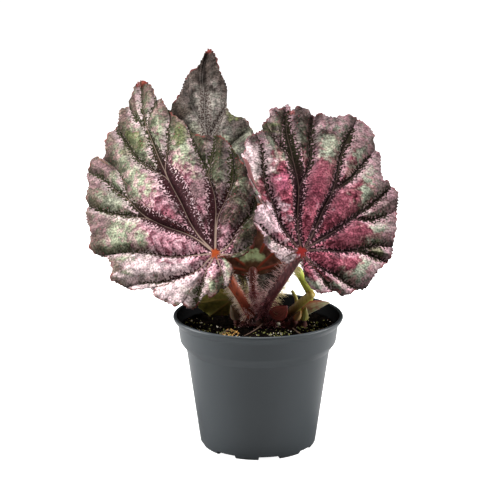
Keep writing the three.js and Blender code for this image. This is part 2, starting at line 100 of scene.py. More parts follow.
scene = bpy.context.scene
scene.view_settings.view_transform = "Standard"
world = scene.world or bpy.data.worlds.new("studio")
scene.world = world
world.use_nodes = True
background = world.node_tree.nodes["Background"]
background.inputs["Color"].default_value = (1, 1, 1, 1)
seen = put(world.node_tree, "ShaderNodeLightPath").outputs["Is Camera Ray"]
sky = calc(world.node_tree, "MULTIPLY_ADD", seen, 1 - SKY_STRENGTH, SKY_STRENGTH)
world.node_tree.links.new(sky, background.inputs["Strength"])

for name, box in SOFT_BOXES.items():
    light = bpy.data.lights.new(name, "AREA")
    light.size = box["size"]
    light.energy = box["watts"]
    lamp = bpy.data.objects.new(name, light)
    lamp.location = box["at"]
    lamp.rotation_euler = (AIM - lamp.location).to_track_quat("-Z", "Y").to_euler()
    scene.collection.objects.link(lamp)

camera = bpy.data.objects.new("camera", bpy.data.cameras.new("camera"))
camera.location = CAMERA_AT
camera.rotation_euler = (math.radians(90 - CAMERA_DOWN), 0, math.radians(CAMERA_LEFT))
camera.data.lens = CAMERA_LENS
scene.collection.objects.link(camera)
scene.camera = camera

bm = bmesh.new()
bmesh.ops.create_grid(bm, x_segments=1, y_segments=1, size=SWEEP_SIZE)
sweep_paper, tree, shader = finish("sweep_paper", {
    "Roughness": 0.9, "Base Color": (0.6, 0.6, 0.6, 1), "Emission Color": (1, 1, 1, 1),
})
seen = put(tree, "ShaderNodeLightPath").outputs["Is Camera Ray"]
tree.links.new(calc(tree, "MULTIPLY", seen, SWEEP_GLOW), shader.inputs["Emission Strength"])
floor = piece("floor", bm, sweep_paper)

# The pot. A thermoformed 12 cm nursery pot of thin grey plastic, black on its inside, where the
# near black is also painted shade inside the pot: a tapered wall, a ledge under the rim band, a
# rolled lip, and a base with a ring groove, eight drainage channels and a hole in each.
MM = 0.001
POT_HEIGHT = 94.5 * MM
LIP_RADIUS = 60 * MM
LIP_DROP = 6 * MM
BAND_TOP_RADIUS = 56.6 * MM
BAND_FOOT_RADIUS = 55.1 * MM
BAND_FOOT = 76.3 * MM
LEDGE_FOOT = 70.3 * MM
SHOULDER_RADIUS = 50.7 * MM
FOOT_RADIUS = 39.6 * MM
WALL = 1.2 * MM
POT_STEPS = 160
FOOT_COUNT = 8
FOOT_HEIGHT = 2.6 * MM
FOOT_TURN = 11.5
CHANNEL_WIDTH = 15 * MM
GROOVE = (14 * MM, 25 * MM)
DRAIN_RADIUS = 3.2 * MM
DRAIN_RING = 31 * MM
EDGE_ROUNDING = 0.5 * MM
CORNER_TURN = math.radians(14)
CUT_TURN = math.radians(30)
SHARP_TURN = math.radians(32)


def srgb(red, green, blue):
    """A colour read off a screen, 0 to 255, as the shader wants it."""
    return (*(((c / 255 + 0.055) / 1.055) ** 2.4 if c > 10 else c / 3294 for c in (red, green, blue)), 1)


def mixed(tree, share, first, second):
    return put(tree, "ShaderNodeMix", {0: share, 6: first, 7: second}, data_type="RGBA").outputs[2]


def grain(tree, place, scale, detail=2):
    return put(tree, "ShaderNodeTexNoise", {"Vector": place, "Scale": scale, "Detail": detail}).outputs["Fac"]


def bumped(tree, shader, height, strength, depth):
    """Gives a finish relief from a height; depth is how deep it goes, in mm."""
    bump = put(tree, "ShaderNodeBump", {"Height": height, "Strength": strength, "Distance": depth * MM})
    tree.links.new(bump.outputs["Normal"], shader.inputs["Normal"])


def spun(profile, steps):
    """A body turned about the pot's axis from its profile of (radius, height)."""
    bm = bmesh.new()
    line = [bm.verts.new((radius, 0, height)) for radius, height in profile]
    edges = [bm.edges.new(pair) for pair in zip(line, line[1:])]
    bmesh.ops.spin(bm, geom=line + edges, cent=(0, 0, 0), axis=(0, 0, 1), angle=math.tau,
                   steps=steps, use_merge=True)
    bmesh.ops.remove_doubles(bm, verts=bm.verts, dist=1e-6)
    bmesh.ops.recalc_face_normals(bm, faces=bm.faces)
    return bm


def settled(made):
    """Applies the modifiers of an object to its mesh."""
    bpy.context.view_layer.update()
    evaluated = made.evaluated_get(bpy.context.evaluated_depsgraph_get())
    mesh = bpy.data.meshes.new_from_object(evaluated)
    made.modifiers.clear()
    made.data = mesh
    return made


pot_floor = FOOT_HEIGHT + WALL
lean = (SHOULDER_RADIUS - FOOT_RADIUS - 1.5 * MM) / (LEDGE_FOOT - 2 * MM)
wall_rings = [
    (SHOULDER_RADIUS - lean * (LEDGE_FOOT - height), height)
    for height in (5 * MM, 20 * MM, 35 * MM, 50 * MM)
]
bm = spun([
    (0, 0), (FOOT_RADIUS, 0), (FOOT_RADIUS + 1.5 * MM, 2 * MM), *wall_rings,
    (SHOULDER_RADIUS, LEDGE_FOOT),
    (BAND_FOOT_RADIUS - 0.6 * MM, BAND_FOOT - 0.9 * MM), (BAND_FOOT_RADIUS, BAND_FOOT + 0.4 * MM),
    (BAND_TOP_RADIUS, POT_HEIGHT - LIP_DROP), (LIP_RADIUS - 0.8 * MM, POT_HEIGHT - 3.2 * MM),
    (LIP_RADIUS, POT_HEIGHT - 1.2 * MM), (LIP_RADIUS - 0.6 * MM, POT_HEIGHT),
    (LIP_RADIUS - 2.4 * MM, POT_HEIGHT - 0.1 * MM), (LIP_RADIUS - 3.4 * MM, POT_HEIGHT - 1.6 * MM),
    (BAND_TOP_RADIUS - WALL, POT_HEIGHT - LIP_DROP - 1 * MM),
    (BAND_FOOT_RADIUS - WALL, BAND_FOOT + 0.6 * MM),
    (SHOULDER_RADIUS - WALL, LEDGE_FOOT + 0.6 * MM), (FOOT_RADIUS + 0.6 * MM, pot_floor),
    (0, pot_floor),
], POT_STEPS)
corners = [e for e in bm.edges if e.calc_face_angle(0) > CORNER_TURN]
bmesh.ops.bevel(bm, geom=corners, offset=EDGE_ROUNDING, offset_type="OFFSET", affect="EDGES", segments=3,
                profile=0.5, material=-1, clamp_overlap=True)
pot = piece("pot_body", bm)

groove_inner, groove_outer = GROOVE
bm = spun([
    (groove_inner, -MM), (groove_outer, -MM), (groove_outer - MM, FOOT_HEIGHT),
    (groove_inner + MM, FOOT_HEIGHT), (groove_inner, -MM),
], POT_STEPS)
groove = piece("groove_cutter", bm)
channel_start = groove_inner + 4 * MM
channel_length = FOOT_RADIUS + 6 * MM - channel_start
channel_middle = Matrix.Translation((channel_start + channel_length / 2, 0, FOOT_HEIGHT / 2 - MM))
channel_size = Matrix.Diagonal((channel_length, CHANNEL_WIDTH, FOOT_HEIGHT + 2 * MM, 1))
channels, drains = bmesh.new(), bmesh.new()
for foot in range(FOOT_COUNT):
    turn = Matrix.Rotation(math.radians(FOOT_TURN + 360 / FOOT_COUNT * foot - 90), 4, "Z")
    bmesh.ops.create_cube(channels, size=1, matrix=turn @ channel_middle @ channel_size)
    bmesh.ops.create_cone(drains, cap_ends=True, segments=24, radius1=DRAIN_RADIUS, radius2=DRAIN_RADIUS,
                          depth=20 * MM, matrix=turn @ Matrix.Translation((DRAIN_RING, 0, 0)))
cutters = [groove, piece("channel_cutter", channels), piece("drain_cutter", drains)]
for cutter in cutters:
    cut = pot.modifiers.new(cutter.name, "BOOLEAN")
    cut.object = cutter
    cut.operation = "DIFFERENCE"
    cut.solver = "EXACT"
    cut.use_self = cutter.name == "channel_cutter"
settled(pot)
for cutter in cutters:
    bpy.data.objects.remove(cutter)
bm = bmesh.new()
bm.from_mesh(pot.data)
cut_edges = [
    e for e in bm.edges
    if e.calc_face_angle(0) > CUT_TURN and max(v.co.z for v in e.verts) < FOOT_HEIGHT + 0.2 * MM
]
bmesh.ops.bevel(bm, geom=cut_edges, offset=EDGE_ROUNDING / 2, offset_type="OFFSET", affect="EDGES",
                segments=2, profile=0.5, material=-1, clamp_overlap=True)
bm.to_mesh(pot.data)
bm.free()
pot.data.shade_smooth()
pot.data.set_sharp_from_angle(angle=SHARP_TURN)

pot_grey, tree, shader = finish("pot_grey", {"Roughness": 0.42, "Specular IOR Level": 0.25})
place = put(tree, "ShaderNodeTexCoord").outputs["Object"]
clouded = mixed(tree, grain(tree, place, 22, 4), srgb(47, 51, 54), srgb(53, 58, 61))
tree.links.new(clouded, shader.inputs["Base Color"])
bumped(tree, shader, grain(tree, place, 1400), 0.06, 0.1)

# The inside faces: near-black plastic that is also painted shade inside the pot.
pot_black_and_shade = finish("pot_black_and_shade", {
    "Roughness": 0.8, "Specular IOR Level": 0.05, "Base Color": srgb(8, 8, 9),
})[0]
pot.data.materials.clear()
pot.data.materials.append(pot_grey)
pot.data.materials.append(pot_black_and_shade)
for face in pot.data.polygons:
    outward = Vector((face.center.x, face.center.y, 0)).normalized()
    inside = face.normal.dot(outward) < -0.3 and pot_floor < face.center.z < POT_HEIGHT - 0.5 * MM
    face.material_index = 1 if inside else 0
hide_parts("pot")
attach(pot, "root")

# The soil. Dark peat fills the pot to 9 mm under the lip, in low lumps that were never pressed
# flat. It is built as one body, and loose crumbs lie on it.
SOIL_TOP = 85.3
SOIL_STEPS = 150
SOIL_RINGS = 44
GAP = 0.3 * MM
SOIL_REACH = 52
CRUMB_SEED = 11
CRUMB_COUNT = 2600


def soil_height(x, y):
    """Height of the peat, in mm, at a place in mm."""
    mound = 0.6 * math.exp(-(math.hypot(x, y) / 30) ** 2)
    lumps = math.sin(0.31 * x + 1.1) * math.cos(0.27 * y - 0.6) + 0.6 * math.sin(0.55 * y + 0.43 * x)
    return SOIL_TOP + mound + lumps


soil_rim = BAND_FOOT_RADIUS - WALL - GAP
soil_edge = soil_rim + 0.8 * MM
rings = [(soil_edge * ring / SOIL_RINGS, SOIL_TOP * MM) for ring in range(SOIL_RINGS, -1, -1)]
bm = spun([
    (0, pot_floor + GAP), (FOOT_RADIUS, pot_floor + GAP),
    (SHOULDER_RADIUS - WALL - 2 * GAP, LEDGE_FOOT + 1.2 * MM), (soil_rim, BAND_FOOT + 0.8 * MM), *rings,
], SOIL_STEPS)
for vertex in bm.verts:
    if vertex.co.z > SOIL_TOP * MM - 1e-5:
        x, y = vertex.co.x / MM, vertex.co.y / MM
        clods = 1.1 * noise.noise((x * 0.16, y * 0.16, 3)) + 0.5 * noise.noise((x * 0.55, y * 0.55, 7))
        vertex.co.z = (soil_height(x, y) + clods) * MM
bmesh.ops.recalc_face_normals(bm, faces=bm.faces)


def new_group(name, inputs, outputs):
    """An empty node group; returns its tree, what its inputs give, and its end."""
    tree = bpy.data.node_groups.new(name, "ShaderNodeTree")
    for direction, sockets in (("INPUT", inputs), ("OUTPUT", outputs)):
        for socket, kind in sockets.items():
            tree.interface.new_socket(socket, in_out=direction, socket_type="NodeSocket" + kind)
    return tree, tree.nodes.new("NodeGroupInput").outputs, tree.nodes.new("NodeGroupOutput").inputs


def use_group(tree, group, inputs):
    return put(tree, "ShaderNodeGroup", inputs, node_tree=group).outputs


def paint_fields(paints):
    return {f"{paint} paint": "Color" for paint in paints}


# Crumbs: mottled from a low to a high colour, with relief from the same grain
crumbs, given, out = new_group(
    "crumbs", {"place": "Vector", "scale": "Float", "detail": "Float", **paint_fields(("low", "high"))},
    {"colour": "Color", "height": "Float"},
)
clumps = grain(crumbs, given["place"], given["scale"], given["detail"])
tint = put(crumbs, "ShaderNodeMapRange", {0: clumps, 1: 0.35, 2: 0.7}).outputs[0]
crumbs.links.new(mixed(crumbs, tint, given["low paint"], given["high paint"]), out["colour"])
crumbs.links.new(clumps, out["height"])


def crumbly(name, sockets, scale, detail, low, high, strength, depth):
    """A finish of crumbs, with relief of that strength and depth in mm."""
    made, tree, shader = finish(name, sockets)
    look = use_group(tree, crumbs, {
        "place": put(tree, "ShaderNodeTexCoord").outputs["Object"],
        "scale": scale, "detail": detail, "low paint": srgb(*low), "high paint": srgb(*high),
    })
    tree.links.new(look["colour"], shader.inputs["Base Color"])
    bumped(tree, shader, look["height"], strength, depth)
    return made


peat = crumbly("peat", {"Roughness": 0.95, "Specular IOR Level": 0.02}, 380, 5,
               (5, 4, 3), (24, 17, 13), 0.8, 1.2)
soil = piece("peat_body", bm, peat)
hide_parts("soil")
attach(soil, "root")


def join_in(whole, part):
    """Adds one bmesh to another and frees the one that was added."""
    scrap = bpy.data.meshes.new("scrap")
    part.to_mesh(scrap)
    part.free()
    whole.from_mesh(scrap)
    bpy.data.meshes.remove(scrap)


def strewn(name, seeds, shape, places, material):
    """One piece of many copies of a small shape, each put down by its own matrix."""
    bits = bmesh.new()
    for at in places(random.Random(seeds)):
        copy = shape.copy()
        bmesh.ops.transform(copy, matrix=at, verts=copy.verts)
        join_in(bits, copy)
    shape.free()
    made = piece(name, bits, material)
    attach(made, "root")


def lying(x, y, size, draw, sunk=0.2):
    """A random turn and squash for a crumb of that size, lying on the peat at x, y in mm."""
    angle = draw.uniform(0, math.tau)
    turn = Matrix.Rotation(angle, 4, Vector((draw.gauss(0, 1), draw.gauss(0, 1), 1)).normalized())
    form = Matrix.Diagonal([size * draw.uniform(*span) for span in ((0.7, 1.4), (0.6, 1.1), (0.5, 1))] + [1])
    high = soil_height(x, y) + size * (0.5 - sunk)
    return Matrix.Translation((x * MM, y * MM, high * MM)) @ turn @ form @ Matrix.Scale(MM, 4)


def crumb_places(draw):
    """Where the crumbs lie: evenly all over the peat, with a big one here and there."""
    for _ in range(CRUMB_COUNT):
        radius = (SOIL_REACH + 0.5) * math.sqrt(draw.random())
        angle = draw.uniform(0, math.tau)
        size = draw.uniform(0.4, 1.0) * (1.8 if draw.random() < 0.12 else 1)
        yield lying(radius * math.cos(angle), radius * math.sin(angle), size, draw)


def pebble(roughness, draw):
    """A knobbly ball, 1 across, with 20 faces."""
    ball = bmesh.new()
    bmesh.ops.create_icosphere(ball, subdivisions=1, radius=0.5)
    for vertex in ball.verts:
        vertex.co *= 1 + draw.uniform(-roughness, roughness)
    return ball


strewn("peat_crumbs", CRUMB_SEED, pebble(0.3, random.Random(1)), crumb_places, peat)

# What lies on the peat. Yellow-green moss tips on the left and the right, grains of white
# perlite and golden husks at the front.


def spots(name, count, size, middles, spread, material, seeds, sunk=0.2):
    """Small bits of one kind in drifts round some places on the peat, in mm."""
    def at_places(draw):
        for number in range(count):
            x, y = middles[number % len(middles)]
            x, y = x + draw.gauss(0, spread), y + draw.gauss(0, spread)
            inward = min(1, SOIL_REACH / math.hypot(x, y))
            yield lying(x * inward, y * inward, draw.uniform(*size), draw, sunk)
    strewn(name, seeds, pebble(0.25, random.Random(seeds)), at_places, material)


def plain(name, roughness, paint):
    """A finish of one colour."""
    return finish(name, {"Roughness": roughness, "Base Color": srgb(*paint)})[0]


moss = plain("moss", 0.8, (146, 148, 78))
perlite = plain("perlite", 0.7, (244, 236, 214))
husk = plain("husk", 0.6, (200, 150, 76))
LEFT_DRIFT = [(-44, -12), (-36, -20), (-28, -30), (-46, 0), (-24, -20)]
RIGHT_DRIFT = [(20, -22), (32, -18), (42, -14), (44, -2), (28, -32), (38, -6), (6, -24)]
HUSK_DRIFT = [(-23, -26), (-16, -20), (-22, -38), (-14, -41)]
LUMPS = [(13.4, -8.8), (14.2, -9.2)]
spots("moss_tips", 560, (0.4, 1.4), LEFT_DRIFT + RIGHT_DRIFT, 8, moss, 21)
spots("perlite_grains", 150, (0.4, 1.4), LEFT_DRIFT + RIGHT_DRIFT + [(-8, -38)], 9, perlite, 22)
spots("perlite_lump", 2, (2.2, 3.0), LUMPS, 0.2, perlite, 23, sunk=-0.5)
spots("husks", 70, (0.8, 1.9), HUSK_DRIFT, 4, husk, 24)

# The rhizome. A short thick crown, dark brown and hairy, that lies in the peat with a collar
# where each stalk leaves it.
RHIZOME_RADIUS = 8
RHIZOME_HALF = 18
RHIZOME_MIDDLE = (9, 0, 84.8)
COLLAR_EXTRA = 0.7
COLLAR_DEPTH = 7

# Where each stalk leaves the crown and the way it goes there, then its bends, in mm
STALKS = {
    "leaf_left": {"radius": 3.4, "foot": (-5, -6, 94.8), "way": (-0.4, -0.3, 0.86),
                  "bends": [(-11.5, -10.5, 108.6), (-18, -13, 119.5)]},
    "leaf_right": {"radius": 3.5, "foot": (3.2, -7.8, 96), "way": (0.25, -0.25, 0.93),
                   "bends": [(7.5, -12, 108), (14.4, -17, 120.1)]},
    "leaf_back": {"radius": 3, "foot": (-9, 5.5, 94), "way": (-0.04, 0.6, 0.8),
                  "bends": [(-10, 22, 109), (-16, 36.5, 124)]},
    "leaf_centre": {"radius": 2.7, "foot": (-1, 2.5, 96), "way": (-0.15, 0.15, 0.97),
                    "bends": [(-3, 4.5, 105), (-3.6, 9, 114)]},
    "leaf_low": {"radius": 1.6, "foot": (-13.5, 1.5, 92.6), "way": (-0.25, 0, 0.97), "bends": []},
}
STUMPS = {
    "cut_stalk": {"radius": 2.9,
                  "path": [(20, -3.9, 94), (24.3, -6.2, 98.8), (29.7, -9, 104.5), (37.7, -14, 113)]},
    "old_stalk": {"radius": 3,
                  "path": [(27.5, 4.2, 93.6), (33.5, 6.2, 99), (36.8, 8, 106.4), (33, 8, 115),
                           (27.1, 5, 125.9)]},
    "shoot": {"radius": 1.2,
              "path": [(22.8, 0.4, 95), (25.6, 0.6, 99), (27, 2, 104), (23.8, 4, 110.4)]},
}
BRACTS = {
    "stipule_red": {"foot": (8.8, -9.8, 94.5), "way": (0.74, -0.3, 0.6), "back": (0.3, 0.8, 0.5),
                    "length": 15, "width": 12.5, "fold": 0.3, "sharp": 0.8},
    "stipule_green": {"foot": (32, -6, 90.5), "way": (0.12, 0.1, 0.98), "back": (0.1, -0.95, -0.2),
                      "length": 10, "width": 6.5, "fold": 0.4, "sharp": 0.5},
    "stipule_cream": {"foot": (26.2, -7, 91), "way": (0.38, -0.3, 0.87), "back": (0, -0.9, -0.4),
                      "length": 9, "width": 5, "fold": 0.4, "sharp": 0.6},
    "stipule_low": {"foot": (-15.5, -4.5, 90.5), "way": (-0.25, -0.3, 0.92), "back": (-0.1, -0.9, -0.3),
                    "length": 13, "width": 6.5, "fold": 0.3, "sharp": 0.5},
    "young_leaf": {"foot": (33, 0.5, 92.6), "way": (0.83, -0.17, 0.54), "back": (0.5, -0.6, -0.65),
                   "length": 20, "width": 12, "fold": 1, "sharp": 0.6},
}


def grown_bar(path, radius_at, sides, aside=(1, 0, 0), into=None):
    """A round bar along a path in mm; radius_at gives its radius at a share and a turn. It goes into
    a bmesh of its own or into the given one."""
    bar = bmesh.new()
    steps = len(path) - 1
    bmesh.ops.create_cone(bar, cap_ends=True, cap_tris=True, segments=sides, radius1=1, radius2=1, depth=1)
    long_edges = [e for e in bar.edges if abs(e.verts[0].co.z - e.verts[1].co.z) > 0.5]
    bmesh.ops.subdivide_edges(bar, edges=long_edges, cuts=steps - 1)
    for vertex in bar.verts:
        share = min(max(vertex.co.z + 0.5, 0), 1)
        number = round(share * steps)
        ahead = path[min(number + 1, steps)] - path[max(number - 1, 0)]
        side = ahead.cross(Vector(aside)).normalized()
        front = side.cross(ahead).normalized()
        turn = math.atan2(vertex.co.y, vertex.co.x)
        off_axis = min(math.hypot(vertex.co.x, vertex.co.y), 1) * radius_at(share, turn)
        vertex.co = (path[number] + (side * math.cos(turn) + front * math.sin(turn)) * off_axis) * MM
    if into is None:
        return bar
    join_in(into, bar)
    return into


bm = bmesh.new()
bmesh.ops.create_uvsphere(bm, u_segments=48, v_segments=32, radius=RHIZOME_RADIUS)
bmesh.ops.rotate(bm, matrix=Matrix.Rotation(math.pi / 2, 3, "Y"), verts=bm.verts)
for vertex in bm.verts:
    spread = RHIZOME_HALF * math.copysign(1, vertex.co.x) * min(abs(vertex.co.x) / 2, 1)
    lump = 1 + 0.09 * noise.noise(vertex.co * 0.35 + Vector((spread, 0, 0)) * 0.3)
    swollen = Vector((vertex.co.x + spread, vertex.co.y * lump, vertex.co.z * lump))
    vertex.co = (swollen + Vector(RHIZOME_MIDDLE)) * MM
collars = [(form["foot"], form["way"], form["radius"]) for form in STALKS.values()]
collars += [(form["foot"], form["way"], 1.2) for form in BRACTS.values()]
collars += [(form["path"][0], Vector(form["path"][1]) - Vector(form["path"][0]), form["radius"])
            for form in STUMPS.values()]
for foot, way, radius in collars:
    end = Vector(foot)
    start = end - Vector(way).normalized() * COLLAR_DEPTH
    path = [start.lerp(end, step / 6) for step in range(7)]
    grown_bar(path, lambda share, turn: (radius + COLLAR_EXTRA) * (1.25 - 0.25 * share), 20, into=bm)

crown_skin = crumbly("crown_skin", {"Roughness": 0.75, "Specular IOR Level": 0.2}, 260, 4,
                     (32, 17, 14), (92, 50, 42), 0.6, 0.8)
rhizome = piece("crown", bm, crown_skin)
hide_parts("rhizome")
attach(rhizome, "root")

# The leaves. Each blade is a broad lopsided heart of soft tissue with a toothed edge. It is pleated,
# for it puffs up between the veins, and it falls back towards its edge. The stalk holds it from
# behind, where its main veins meet.
BLADE = 0.9
PLEAT = 0.15
PLEAT_WIDEST = 40
VALLEY = 1.6
VALLEY_WIDTH = 3
QUILT = 0.45
QUILT_STEP = 9
QUILT_SWEEP = 0.9
RUFFLE = 1.1
RUFFLE_STEP, CRIMP_STEP = 2.7, 1.1
TOOTH = 1.5
TOOTH_STEP = 3.6
PUCKERS = ((0.3, 0.33), (0.5, 0.1))
EDGE_ROWS = [0.955, 0.98, 1]
